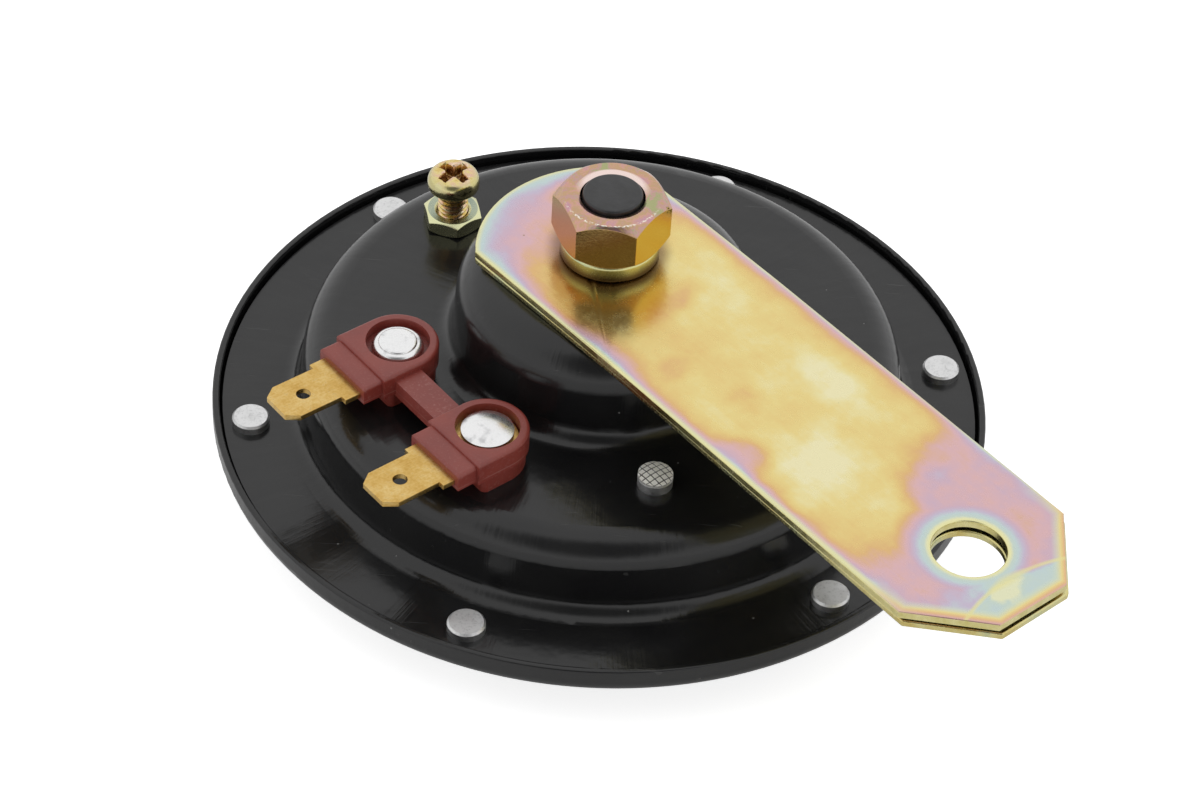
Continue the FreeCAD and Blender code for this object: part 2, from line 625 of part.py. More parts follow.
def spring_washer():
    """A split washer with rounded outer edges and a slanted cut."""
    ring = tube(WASHER_R, STUD_R + FIT, BRACKET_TOP, WASHER_TOP)
    outer = [e for e in ring.Edges if len(e.Vertexes) == 1 and e.Curve.Radius > WASHER_R - SAME]
    ring = ring.makeFillet(WASHER_ROUND, outer)
    half, lean = WASHER_SPLIT / 2, WASHER_SPLIT_LEAN
    cut = [V(0, -half - lean, BRACKET_TOP), V(0, half - lean, BRACKET_TOP),
           V(0, half + lean, WASHER_TOP), V(0, -half + lean, WASHER_TOP)]
    notch = Part.Face(Part.makePolygon(cut + cut[:1])).extrude(V(2 * WASHER_R, 0, 0))
    return ring.cut(placed(notch, WASHER_SPLIT_ANGLE))


def mounting_nut():
    bore = STUD_R + FIT
    nut = hexagon(NUT_FLATS, bore, WASHER_TOP, NUT_TOP, NUT_CHAMFER_ANGLE, NUT_CHAMFER_ANGLE)
    return placed(nut.cut(countersink(bore, NUT_SINK, NUT_TOP)), NUT_TURN)


# Pieces on the plateau
def eyelet(short):
    """One eyelet with its lip, its centre on the axis and its lip towards +X."""
    step_at, step_z = EYELET_STEP_AT - short, EYELET_TOP - LIP_DROP
    drum = disc(EYELET_R, PARTING_Z, EYELET_TOP)
    block = slab([(0, -EYELET_R), (step_at, -EYELET_R), (step_at, EYELET_R), (0, EYELET_R)],
                 PARTING_Z, EYELET_TOP)
    body = drum.fuse(block).removeSplitter()
    top_edges = [e for e in body.Edges if abs(e.BoundBox.ZMin - EYELET_TOP) < SAME]
    body = body.makeFillet(BLOCK_ROUND, top_edges)
    root, end = step_at - LIP_ROOT, LIP_END_AT - short
    lip = slab([(root, -LIP_HALF_WIDE), (end, -LIP_HALF_WIDE), (end, LIP_HALF_WIDE),
                (root, LIP_HALF_WIDE)], RECESS_FLOOR - LIP_UNDER, step_z)
    top_face = max(lip.Faces, key=lambda f: f.CenterOfMass.z)
    outer = [e for e in top_face.Edges if e.CenterOfMass.x > root + SAME]
    return body.fuse([lip.makeFillet(BLOCK_ROUND, outer), eyelet_foot(step_at - FOOT_END_INSET)])


def eyelet_foot(end):
    """The narrower lower half of an eyelet, which stands on the plateau."""
    half = EYELET_R - FOOT_INSET
    block = slab([(0, -half), (end, -half), (end, half), (0, half)], PLATEAU_Z, PARTING_Z)
    upright = [e for e in block.Edges if e.BoundBox.ZLength > FOOT_ROUND and e.CenterOfMass.x > SAME]
    return block.makeFillet(FOOT_ROUND, upright).fuse(disc(half, PLATEAU_Z, PARTING_Z)).removeSplitter()


def eyelet_hollow():
    """Recess of the rivet head, slot of the spade and hole of the rivet, in one piece."""
    half, end = SPADE_SHOULDER_HALF, LIP_END_AT + CUT_PAST
    slot = slab([(0, -half), (end, -half), (end, half), (0, half)], RECESS_FLOOR, SPADE_TOP)
    recess = disc(RECESS_R, RECESS_FLOOR, EYELET_TOP + CUT_PAST)
    return recess.fuse([slot, disc(TERMINAL_RIVET_R + FIT, PLATEAU_Z - CUT_PAST, EYELET_TOP)])


def terminal_block():
    """Two eyelets joined by a lower bar, one moulding."""
    bar_top = EYELET_TOP - BAR_DROP
    side = EYELET_HALF_PITCH
    bar_end = BAR_START + BAR_WIDE
    bar = slab([(BAR_START, -side), (bar_end, -side), (bar_end, side), (BAR_START, side)],
               bar_top - BAR_THICK, bar_top)
    left, right = placed(eyelet(0), 0, 0, -side), placed(eyelet(RIGHT_EYELET_SHORT), RIGHT_EYELET_TURN)
    block = left.fuse([placed(right, 0, 0, side), bar])
    for y, turn in ((-side, 0), (side, RIGHT_EYELET_TURN)):
        block = block.cut(placed(placed(eyelet_hollow(), turn), 0, 0, y))
    return placed(block.removeSplitter(), BLOCK_ANGLE, BLOCK_R, 0)


def spade_terminal(side, short, turn):
    """Brass tab with its eye under the rivet head, a shoulder and a chamfered blade."""
    half, shoulder, end = SPADE_SHOULDER_HALF - FIT, SPADE_SHOULDER_AT - short, SPADE_TIP_AT - short
    tip = end - SPADE_TIP_CHAMFER_LONG
    upper = [(0, half), (shoulder, half), (shoulder, SPADE_HALF_WIDE), (tip, SPADE_HALF_WIDE),
             (end, SPADE_HALF_WIDE - SPADE_TIP_CHAMFER_WIDE)]
    lower = [(x, -y) for x, y in reversed(upper)]
    blade = slab(upper + lower, RECESS_FLOOR, SPADE_TOP)
    blade = blade.fuse(disc(half, RECESS_FLOOR, SPADE_TOP)).removeSplitter()
    blade = blade.cut(disc(SPADE_HOLE_R, RECESS_FLOOR, SPADE_TOP, V(end - SPADE_HOLE_INSET, 0, 0)))
    blade = blade.cut(disc(TERMINAL_RIVET_R + FIT, RECESS_FLOOR, SPADE_TOP))
    return placed(placed(blade, turn), BLOCK_ANGLE, BLOCK_R, side * EYELET_HALF_PITCH)


def terminal_rivet(place, under, head, high):
    """Rivet through eyelet and plateau. The head's edge is given as (radius, height) points."""
    points = [(0, under - INNER_TAIL_HIGH), (INNER_TAIL_TIP_R, under - INNER_TAIL_HIGH),
              (INNER_TAIL_R, under), (TERMINAL_RIVET_R, under), (TERMINAL_RIVET_R, SPADE_TOP),
              (head[0][0], SPADE_TOP)]
    rivet = round_headed(points + [(r, SPADE_TOP + up) for r, up in head], SPADE_TOP + high)
    return placed(rivet, 0, place.x, place.y)


def insulating_bush(place, low):
    """Flanged bush that keeps a terminal rivet clear of the shell."""
    body = disc(BUSH_R, low, PLATEAU_UNDER).fuse(disc(BUSH_SLEEVE_R, low, PLATEAU_Z))
    return placed(body.cut(disc(TERMINAL_RIVET_R + FIT, low, PLATEAU_Z)), 0, place.x, place.y)


def adjusting_screw():
    """Pan-headed screw with a cross recess, standing on the fibre pad of the contact plate."""
    under = PLATEAU_Z + SCREW_HEAD_UP
    top = under + SCREW_HEAD_HIGH
    path = [(0, under), (SCREW_HEAD_R, under), (SCREW_HEAD_R, top - SCREW_HEAD_CROWN), (0, top)]
    outline = bent_path(path, [RIVET_CROWN, SCREW_HEAD_ROUND])
    outline.append(Part.LineSegment(V(0, 0, under), V(0, 0, top)).toShape())
    head = Part.Face(Part.Wire(Part.__sortEdges__(outline))).revolve(CENTRE, AXIS, 360)
    long, wide = SCREW_CROSS_LONG / 2, SCREW_CROSS_WIDE / 2
    bar = slab([(-long, -wide), (long, -wide), (long, wide), (-long, wide)],
               top - SCREW_CROSS_DEEP, top + CUT_PAST)
    for turn in (0, 90):
        head = head.cut(placed(bar, SCREW_CROSS_TURN + turn))
    screw = head.fuse(disc(SCREW_R, PLATE_TOP + SCREW_PAD_THICK, under))
    place = screw_place()
    return placed(screw, 0, place.x, place.y)


def adjusting_pad():
    return disc(SCREW_PAD_R, PLATE_TOP, PLATE_TOP + SCREW_PAD_THICK, screw_place())


def lock_nut():
    bore, top = SCREW_R + FIT, PLATEAU_Z + LOCK_NUT_HIGH
    nut = hexagon(LOCK_NUT_FLATS, bore, PLATEAU_Z, top, 0, SMALL_NUT_CHAMFER_ANGLE)
    nut = nut.cut(countersink(bore, LOCK_NUT_SINK, top))
    place = screw_place()
    return placed(placed(nut, LOCK_NUT_TURN), 0, place.x, place.y)


# Contact breaker
def breaker_rivet():
    top = PLATEAU_Z + BREAKER_HEAD_HIGH
    rivet = turned([(0, TAIL_TOP - INNER_TAIL_HIGH), (INNER_TAIL_TIP_R, TAIL_TOP - INNER_TAIL_HIGH),
                    (INNER_TAIL_R, TAIL_TOP), (BREAKER_RIVET_R, TAIL_TOP),
                    (BREAKER_RIVET_R, PLATEAU_Z), (BREAKER_HEAD_R, PLATEAU_Z),
                    (BREAKER_HEAD_R, top - RIVET_CROWN), (BREAKER_HEAD_R - RIVET_CROWN, top), (0, top)])
    place = breaker_place()
    return placed(rivet, 0, place.x, place.y)


def breaker_ring(outer, low, high):
    return tube(outer, BREAKER_RIVET_R + FIT, low, high, breaker_place())


def on_arm(shape):
    """A piece drawn along +X from the rivet, put on the breaker arm's line."""
    moved = shape.copy()
    moved.rotate(CENTRE, AXIS, arm_angle())
    moved.translate(breaker_place())
    return moved


def arm_reach():
    """How far along the arm the horn's axis lies, and how far to its side."""
    place, turn = breaker_place(), math.radians(arm_angle())
    along = V(math.cos(turn), math.sin(turn), 0)
    return -place.dot(along), place.cross(along).z


def breaker_spring():
    """Leaf spring that carries the arm, with a tag for the coil's second lead."""
    half = ARM_HALF_WIDE
    leaf = slab([(0, -half), (SPRING_LONG, -half), (SPRING_LONG, half), (0, half)], SPRING_LOW, SPRING_TOP)
    leaf = on_arm(leaf.fuse(disc(half, SPRING_LOW, SPRING_TOP)))
    way = polar(FITTING_R, LEAD_TAG_ANGLE) - breaker_place()
    tag = slab([(0, -SPRING_TAG_HALF), (way.Length, -SPRING_TAG_HALF), (way.Length, SPRING_TAG_HALF),
                (0, SPRING_TAG_HALF)], SPRING_LOW, SPRING_TOP)
    tag.rotate(CENTRE, AXIS, math.degrees(math.atan2(way.y, way.x)))
    tag.translate(breaker_place())
    return leaf.fuse(tag).removeSplitter().cut(
        disc(BREAKER_RIVET_R + FIT, SPRING_LOW, SPRING_TOP, breaker_place()))


def breaker_arm():
    """Stiff arm with a tongue that reaches over the armature's flange."""
    along, aside = arm_reach()
    tip = math.copysign(abs(aside) - TONGUE_TIP_R, aside)
    bar = slab([(ARM_START, -ARM_HALF_WIDE), (ARM_END, -ARM_HALF_WIDE), (ARM_END, ARM_HALF_WIDE),
                (ARM_START, ARM_HALF_WIDE)], ARM_LOW, SPRING_LOW)
    tongue = slab([(along - TONGUE_HALF_WIDE, 0), (along + TONGUE_HALF_WIDE, 0),
                   (along + TONGUE_HALF_WIDE, tip), (along - TONGUE_HALF_WIDE, tip)], ARM_LOW, SPRING_LOW)
    return on_arm(bar.fuse(tongue).removeSplitter())


def contact_place():
    return on_arm(Part.Vertex(CONTACT_AT, 0, 0)).Point


def moving_contact():
    return disc(CONTACT_R, PLATE_TOP + FIXED_CONTACT_HIGH + CONTACT_GAP, ARM_LOW, contact_place())


def fixed_contact():
    return disc(CONTACT_R, PLATE_TOP, PLATE_TOP + FIXED_CONTACT_HIGH, contact_place())


def contact_plate():
    """Curved plate from the breaker's rivet round to the adjusting screw."""
    start = SCREW_ANGLE - 360 - PLATE_END_MARGIN
    sweep = BREAKER_ANGLE + PLATE_END_MARGIN - start
    ring = Part.makeCylinder(PLATE_OUTER_R, PLATE_THICK, V(0, 0, PLATE_LOW), AXIS, sweep)
    ring = ring.cut(disc(PLATE_INNER_R, PLATE_LOW, PLATE_TOP))
    ring.rotate(CENTRE, AXIS, start)
    place = contact_place()
    middle = (PLATE_INNER_R + PLATE_OUTER_R) / 2
    tip = math.hypot(place.x, place.y) - CONTACT_R - PLATE_TONGUE_MARGIN
    half = PLATE_TONGUE_HALF
    tongue = slab([(tip, -half), (middle, -half), (middle, half), (tip, half)], PLATE_LOW, PLATE_TOP)
    plate = ring.fuse(placed(tongue, math.degrees(math.atan2(place.y, place.x)))).removeSplitter()
    plate = plate.cut(disc(BREAKER_RIVET_R + FIT, PLATE_LOW, PLATE_TOP, breaker_place()))
    return plate.cut(disc(TERMINAL_RIVET_R + FIT, PLATE_LOW, PLATE_TOP, eyelet_places()[1]))


# Coil
def coil_bobbin():
    inner = CORE_R + FIT
    drum = inner + BOBBIN_WALL
    return turned([(inner, BOBBIN_LOW), (BOBBIN_LOW_R, BOBBIN_LOW), (BOBBIN_LOW_R, COIL_LOW),
                   (drum, COIL_LOW), (drum, COIL_TOP), (BOBBIN_TOP_R, COIL_TOP),
                   (BOBBIN_TOP_R, BOBBIN_TOP), (inner, BOBBIN_TOP)])


def coil_winding():
    return tube(COIL_R, CORE_R + FIT + BOBBIN_WALL, COIL_LOW, COIL_TOP)


def coil_clip():
    return tube(CLIP_R, CORE_R + FIT, CLIP_LOW, BOBBIN_LOW)


def coil_lead(angle, end_z):
    """Wire from the winding over the bobbin's flange, and out to the circle of rivets."""
    start_z = COIL_LOW + LEAD_R + FIT
    down_r = BOBBIN_LOW_R + LEAD_SIDE_PLAY + LEAD_R
    route = bent_path([(COIL_R, start_z), (down_r, start_z), (down_r, end_z), (FITTING_R, end_z)],
                      [LEAD_BEND, LEAD_BEND])
    section = Part.Wire(Part.makeCircle(LEAD_R, V(COIL_R, 0, start_z), V(1, 0, 0)))
    return placed(Part.Wire(route).makePipeShell([section], True, False), angle)


# Armature and tone disc
def armature():
    end = SHANK_END_Z
    return turned([(0, end), (SHANK_R, end), (SHANK_R, DIAPHRAGM_TOP), (ARMATURE_SEAT_R, DIAPHRAGM_TOP),
                   (ARMATURE_SEAT_R, ARMATURE_FLANGE_LOW), (ARMATURE_FLANGE_R, ARMATURE_FLANGE_LOW),
                   (ARMATURE_FLANGE_R, ARMATURE_FLANGE_TOP), (ARMATURE_BOSS_R, ARMATURE_FLANGE_TOP),
                   (ARMATURE_BOSS_R, ARMATURE_TOP), (0, ARMATURE_TOP)])


def hub_spacer():
    return tube(SPACER_R, SHANK_R + FIT, SPACER_LOW, DIAPHRAGM_LOW)


def tone_disc():
    """Thin disc, flat at its hub and dished a little towards its edge."""
    path = [(TONE_DISC_R, SPACER_LOW - TONE_DISC_DISH), (TONE_DISC_HUB_R, SPACER_LOW),
            (SHANK_R + FIT, SPACER_LOW)]
    return pressed_sheet(path, [TONE_DISC_BEND], TONE_DISC_THICK)


def hub_nut():
    return hexagon(HUB_NUT_FLATS, SHANK_R + FIT, HUB_NUT_LOW, TONE_DISC_LOW, 0,
                   SMALL_NUT_CHAMFER_ANGLE)


LEFT_RIVET, RIGHT_RIVET = eyelet_places()
LEFT_HEAD = [(LEFT_HEAD_R, LEFT_HEAD_EDGE), (LEFT_HEAD_R - LEFT_SLOPE_WIDE, LEFT_LEDGE_UP),
             (LEFT_DISC_R, LEFT_LEDGE_UP), (LEFT_DISC_R, LEFT_LEDGE_UP + LEFT_DISC_HIGH)]
RIGHT_HEAD = [(RIGHT_HEAD_R, RIGHT_HEAD_EDGE)]
PIECES = {
    "rear_shell": rear_shell(),
    "front_cover": front_cover(),
    "flange_rivets": flange_rivets(),
    "rear_gasket": gasket(DIAPHRAGM_TOP),
    "front_gasket": gasket(COVER_SEAT_Z),
    "diaphragm": diaphragm(),
    "pole_core": pole_core(),
    "bracket_upper_leaf": upper_leaf(),
    "bracket_lower_leaf": lower_leaf(),
    "spring_washer": spring_washer(),
    "mounting_nut": mounting_nut(),
    "terminal_block": terminal_block(),
    "spade_terminal_left": spade_terminal(-1, 0, 0),
    "spade_terminal_right": spade_terminal(1, RIGHT_SPADE_SHORT, RIGHT_EYELET_TURN),
    "terminal_rivet_left": terminal_rivet(LEFT_RIVET, PLATEAU_UNDER - BUSH_THICK, LEFT_HEAD,
                                          LEFT_HEAD_HIGH),
    "terminal_rivet_right": terminal_rivet(RIGHT_RIVET, PLATE_LOW, RIGHT_HEAD, RIGHT_HEAD_HIGH),
    "insulating_bush_left": insulating_bush(LEFT_RIVET, PLATEAU_UNDER - BUSH_THICK),
    "insulating_bush_right": insulating_bush(RIGHT_RIVET, PLATE_TOP),
    "adjusting_screw": adjusting_screw(),
    "adjusting_pad": adjusting_pad(),
    "lock_nut": lock_nut(),
    "breaker_rivet": breaker_rivet(),
    "breaker_upper_pad": breaker_ring(PAD_R, SPRING_TOP, PLATEAU_UNDER),
    "breaker_lower_pad": breaker_ring(PAD_R, PLATE_TOP, SPRING_LOW),
    "breaker_tail_washer": breaker_ring(PAD_R, TAIL_TOP, PLATE_LOW),
    "breaker_spring": breaker_spring(),
    "breaker_arm": breaker_arm(),
    "moving_contact": moving_contact(),
    "fixed_contact": fixed_contact(),
    "contact_plate": contact_plate(),
    "coil_bobbin": coil_bobbin(),
    "coil_winding": coil_winding(),
    "coil_clip": coil_clip(),
    "coil_lead_terminal": coil_lead(
        math.degrees(math.atan2(LEFT_RIVET.y, LEFT_RIVET.x)),
        PLATEAU_UNDER - BUSH_THICK - INNER_TAIL_HIGH - LEAD_R - FIT),
    "coil_lead_breaker": coil_lead(LEAD_TAG_ANGLE, SPRING_LOW - LEAD_R - FIT),
    "armature": armature(),
    "hub_spacer": hub_spacer(),
    "tone_disc": tone_disc(),
    "hub_nut": hub_nut(),
}

os.makedirs("parts", exist_ok=True)
for name, shape in PIECES.items():
    shape.exportStep("parts/" + name + ".step")
    box = shape.optimalBoundingBox()
    print("%-22s %d solid(s) %9.2f mm3  z %6.2f to %6.2f  valid %s" % (
        name, len(shape.Solids), shape.Volume, box.ZMin, box.ZMax, shape.isValid()))
print("breaker arm at %.3f degrees:" % arm_angle(),
      "horn axis %.3f mm along it and %.3f mm aside" % arm_reach())
print("contacts at", contact_place(), "rivets at", LEFT_RIVET, RIGHT_RIVET, breaker_place(), screw_place())
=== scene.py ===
# %% [markdown]
# # A car horn, dressed from its CAD frame
# The horn is a black pressed-steel disc with a yellow zinc bracket, brass tabs in a red-brown
# moulding, and aluminium rivets. The frame gives every solid its place in metres, so this script
# only adds finishes, edges and small forms. Z is the horn's axis and Z = 0 is its flat front.

import json
import math

import bmesh
import bpy
from mathutils import Matrix, Vector


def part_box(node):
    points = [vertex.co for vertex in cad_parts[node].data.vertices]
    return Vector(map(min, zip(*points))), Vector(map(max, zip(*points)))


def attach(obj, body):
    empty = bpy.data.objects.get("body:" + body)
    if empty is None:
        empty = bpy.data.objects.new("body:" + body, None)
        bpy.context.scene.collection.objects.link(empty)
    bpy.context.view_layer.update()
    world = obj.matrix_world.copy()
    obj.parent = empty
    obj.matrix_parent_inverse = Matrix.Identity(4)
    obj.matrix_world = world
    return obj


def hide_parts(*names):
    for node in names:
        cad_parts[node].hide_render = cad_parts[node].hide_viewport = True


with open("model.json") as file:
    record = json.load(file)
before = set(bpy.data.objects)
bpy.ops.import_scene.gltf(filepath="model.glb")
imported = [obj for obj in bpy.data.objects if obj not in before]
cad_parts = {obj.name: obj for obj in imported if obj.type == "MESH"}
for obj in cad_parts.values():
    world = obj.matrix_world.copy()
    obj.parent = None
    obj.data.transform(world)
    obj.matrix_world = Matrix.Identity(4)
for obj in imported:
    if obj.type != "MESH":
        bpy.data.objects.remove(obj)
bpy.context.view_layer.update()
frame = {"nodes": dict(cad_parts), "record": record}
nodes = frame["nodes"]
scene = bpy.context.scene
scene.view_settings.view_transform = "Standard"
MM = 0.001

# %% [markdown]
# ## The camera
# A long lens stands well back, so that the round rim looks as flat as it does in the picture. The
# camera looks down at about 43 degrees, and is rolled a little, which turns the horn clockwise.

# %% Camera
AIM = Vector((0.00004, -0.00049, 0.0095))
CAMERA_FAR = 0.5249
CAMERA_DOWN = math.radians(42.78)
CAMERA_ROLL = math.radians(3.69)

look = Vector((0, math.cos(CAMERA_DOWN), -math.sin(CAMERA_DOWN)))
level_up = Vector((0, math.sin(CAMERA_DOWN), math.cos(CAMERA_DOWN)))
right = Vector((1, 0, 0)) * math.cos(CAMERA_ROLL) + level_up * math.sin(CAMERA_ROLL)
up = level_up * math.cos(CAMERA_ROLL) - Vector((1, 0, 0)) * math.sin(CAMERA_ROLL)
camera_data = bpy.data.cameras.new("photo_camera")
camera_data.lens = 121.6
camera_data.sensor_width = 36.0
camera_data.clip_start = 0.01
camera = bpy.data.objects.new("photo_camera", camera_data)
turn = Matrix((right, up, -look)).transposed()
camera.matrix_world = Matrix.Translation(AIM - look * CAMERA_FAR) @ turn.to_4x4()
scene.collection.objects.link(camera)
scene.camera = camera
print("camera at", camera.location)

# %% [markdown]
# ## Colours and nodes
# Colours are written as the hex values that a paint chart gives, and one function turns them into
# the linear values that the renderer works in. One more function adds a shader node, sets it and
# links it, which keeps each finish short enough to read. Patterns read the object's own place in
# millimetres, so the scale of a pattern is one over its real size. Finishes end alike: a pattern
# spreads the roughness, bumps lie on one another, and the shader goes to the output.

# %% Helpers for colours and nodes
SMOOTH = {"interpolation_type": "SMOOTHSTEP"}


def linear(code):
    """A linear colour from a hex code such as c9a055."""
    parts = [int(code[i:i + 2], 16) / 255 for i in (0, 2, 4)]
    return [p / 12.92 if p <= 0.04045 else ((p + 0.055) / 1.055) ** 2.4 for p in parts] + [1.0]


def add(tree, kind, inputs=None, stops=(), **settings):
    """Adds a node. An input takes a value, a socket, or a node's first output; stops fill a ramp."""
    node = tree.nodes.new("ShaderNode" + kind)
    for name, value in settings.items():
        setattr(node, name, value)
    for name, value in (inputs or {}).items():
        if isinstance(value, bpy.types.Node):
            value = value.outputs[0]
        if isinstance(value, bpy.types.NodeSocket):
            tree.links.new(value, node.inputs[name])
        else:
            node.inputs[name].default_value = value
    for _ in stops[2:]:
        node.color_ramp.elements.new(1.0)
    for element, (position, code) in zip(node.color_ramp.elements if stops else (), stops):
        element.position, element.color = position, linear(code)
    return node


def finish_named(name):
    """An empty material: its node tree, its place in mm, and its coordinates as a node."""
    material = bpy.data.materials.new(name)
    material.use_nodes = True
    tree = material.node_tree
    tree.nodes.clear()
    coordinates = add(tree, "TexCoord")
    place = add(tree, "Mapping", {"Vector": coordinates.outputs["Object"], "Scale": (1 / MM,) * 3})
    return material, tree, place, coordinates


def from_axis(tree, place, x=0.0, y=0.0):
    """How far a place in mm lies from the upright axis through x and y."""
    way = add(tree, "VectorMath", {0: place, 1: (x, y, 0)}, operation="SUBTRACT")
    flat = add(tree, "VectorMath", {0: way, 1: (1, 1, 0)}, operation="MULTIPLY")
    return add(tree, "VectorMath", {0: flat}, operation="LENGTH").outputs["Value"]


def apart(tree, a, b):
    """How far two values lie apart."""
    change = add(tree, "Math", {0: a, 1: b}, operation="SUBTRACT")
    return add(tree, "Math", {0: change}, operation="ABSOLUTE")


def finished(tree, tone, rough, bumps, values, span=(0.3, 0.7)):
    """Ends a finish. Rough is a value, or a pattern with the roughness at both ends of its span;
    each bump is a pattern, its strength and its height in mm; values are the shader's constants."""
    if isinstance(rough, tuple):
        pattern, low, high = rough
        rough = add(tree, "MapRange", {"Value": pattern, "From Min": span[0], "From Max": span[1],
                                       "To Min": low, "To Max": high})
    skin = {}
    for pattern, strength, height in bumps:
        skin = {"Normal": add(tree, "Bump", {"Height": pattern, "Strength": strength,
                                             "Distance": height * MM, **skin})}
    shader = add(tree, "BsdfPrincipled", {"Base Color": tone, "Roughness": rough, **values, **skin})
    add(tree, "OutputMaterial", {"Surface": shader})
    return shader


print("helpers ready")

# %% [markdown]
# ## Floor and light
# The horn lies on a white table in a white tent, and only the side where the camera stands is dark.
# Gloss paint and bright zinc are readable because of that: faces that look up mirror the white
# tent, and faces that look at the camera mirror the dark side. The table is seen a little brighter
# than it is lit, so that it stays white and keeps only a faint shadow. It lies a hair below the horn,
# and is clear from below, so the horn's front can be looked at from there.

# %% Floor
FLOOR_HALF, FLOOR_DROP = 4.0, 0.05 * MM
floor_mesh = bpy.data.meshes.new("floor")
bm = bmesh.new()
bmesh.ops.create_grid(bm, x_segments=1, y_segments=1, size=FLOOR_HALF)
bmesh.ops.translate(bm, verts=bm.verts, vec=(0, 0, -FLOOR_DROP))
bm.to_mesh(floor_mesh)
bm.free()
floor = bpy.data.objects.new("floor", floor_mesh)
scene.collection.objects.link(floor)

white_table, tree, _, _ = finish_named("white_table")
rays = add(tree, "LightPath").outputs
seen = add(tree, "Math", {0: rays["Is Camera Ray"], 1: rays["Is Transmission Ray"]}, operation="MAXIMUM")
mirrored = add(tree, "Math", {0: rays["Is Glossy Ray"], 1: 0.1}, operation="MULTIPLY")
lift = add(tree, "Math", {0: seen, 1: 0.75, 2: mirrored}, operation="MULTIPLY_ADD")
matt = add(tree, "BsdfDiffuse", {"Color": linear("e8e8e8")})
lit = add(tree, "Emission", {"Color": linear("ffffff"), "Strength": lift})
both = add(tree, "AddShader", {0: matt, 1: lit})
below = add(tree, "NewGeometry").outputs["Backfacing"]
clear = add(tree, "BsdfTransparent")
one_sided = add(tree, "MixShader", {0: below, 1: both, 2: clear})
add(tree, "OutputMaterial", {"Surface": one_sided})
floor_mesh.materials.append(white_table)
print("floor", 2 * FLOOR_HALF, "m wide")

# %% Studio
DARK_UP, DARK_EDGE, DARK_CORE = (math.radians(angle) for angle in (43, 38, 11))
DARK_SIDE = (0.0, -math.cos(DARK_UP), math.sin(DARK_UP))
studio = bpy.data.worlds.new("studio")
scene.world = studio
studio.use_nodes = True
tree = studio.node_tree
tree.nodes.clear()
way = add(tree, "TexCoord").outputs["Generated"]
towards = add(tree, "VectorMath", {0: way, 1: DARK_SIDE}, operation="DOT_PRODUCT").outputs["Value"]
glow = add(tree, "MapRange", {"Value": towards, "From Min": math.cos(DARK_EDGE),
                              "From Max": math.cos(DARK_CORE), "To Min": 1.0, "To Max": 0.18}, **SMOOTH)
rays = add(tree, "LightPath").outputs
level = add(tree, "Mix", {0: rays["Is Camera Ray"], 2: glow, 3: 1.0})
sky = add(tree, "Background", {"Color": linear("ffffff"), "Strength": level})
add(tree, "OutputWorld", {"Surface": sky})
print("studio dark towards", DARK_SIDE)

# %% [markdown]
# ## Satin black paint
# The shell and the cover are deep-drawn steel, sprayed with a satin black stoving enamel. It is a
# dielectric with an IOR near 1.5. Its skin ripples over one to five millimetres as the droplets
# flow together, so reflections waver. Drawing the steel leaves faint streaks up the walls that the
# thin paint doesn't hide, and a few pale grains of dust and hairline scratches catch the light.

# %% Black paint
black_paint, tree, place, _ = finish_named("satin_black_paint")
dust = add(tree, "TexVoronoi", {"Vector": place, "Scale": 1 / 2.6})
grain = add(tree, "SeparateColor", {"Color": dust.outputs["Color"]})
size_of = add(tree, "MapRange", {"Value": grain.outputs["Red"], "From Min": 0.55, "To Max": 0.055})
speck = add(tree, "Math", {0: dust.outputs["Distance"], 1: size_of}, operation="LESS_THAN")
hair_place = add(tree, "Mapping", {"Vector": place, "Rotation": (0, 0, 0.7), "Scale": (0.16, 3.5, 1.0)})
hair = add(tree, "TexNoise", {"Vector": hair_place, "Scale": 1.0, "Detail": 1.0})
scratch = add(tree, "MapRange", {"Value": hair, "From Min": 0.74, "From Max": 0.78, "To Max": 0.14})
marks = add(tree, "Math", {0: speck, 1: scratch}, operation="MAXIMUM")
cloud = add(tree, "TexNoise", {"Vector": place, "Scale": 1 / 9.0, "Detail": 4.0})
body_tone = add(tree, "ValToRGB", {"Fac": cloud}, stops=[(0.3, "141415"), (0.7, "1b1b1b")])
tone = add(tree, "Mix", {"Factor": marks, "A": body_tone, "B": linear("6e6e6c")}, data_type="RGBA")
print("paint's tone and dust made")

# %% Black paint: skin
corner = add(tree, "SeparateXYZ", {"Vector": place})
bearing = add(tree, "Math", {0: corner.outputs["Y"], 1: corner.outputs["X"]}, operation="ARCTAN2")
round_place = add(tree, "CombineXYZ", {"X": bearing})
streak = add(tree, "TexNoise", {"Vector": round_place, "Scale": 26.0, "Detail": 4.0, "Roughness": 0.7})
ripple = add(tree, "TexNoise", {"Vector": place, "Scale": 1 / 3.4, "Detail": 2.0})
peel = add(tree, "TexNoise", {"Vector": place, "Scale": 1 / 0.5, "Detail": 2.0})
finished(tree, tone.outputs["Result"], (cloud, 0.15, 0.22),
         [(ripple, 0.1, 0.6), (streak, 0.1, 0.5), (peel, 0.05, 0.1)], {"IOR": 1.5})
print("paint ready")

# %% [markdown]
# ## Yellow zinc on the bracket
# The bracket is spring steel, zinc plated and then dipped in a chromate bath. The bath leaves a
# clear film that shows colours as a soap film does. Where the film is thick the zinc looks straw
# yellow, and it turns orange, rose, lilac, blue-green and cream as it thins towards the edges. So
# the finish is made in two steps: first a map of the film's thickness, and then one ramp of colours
# over it. The map starts from the distance to the bracket's edge, measured along its own axes.

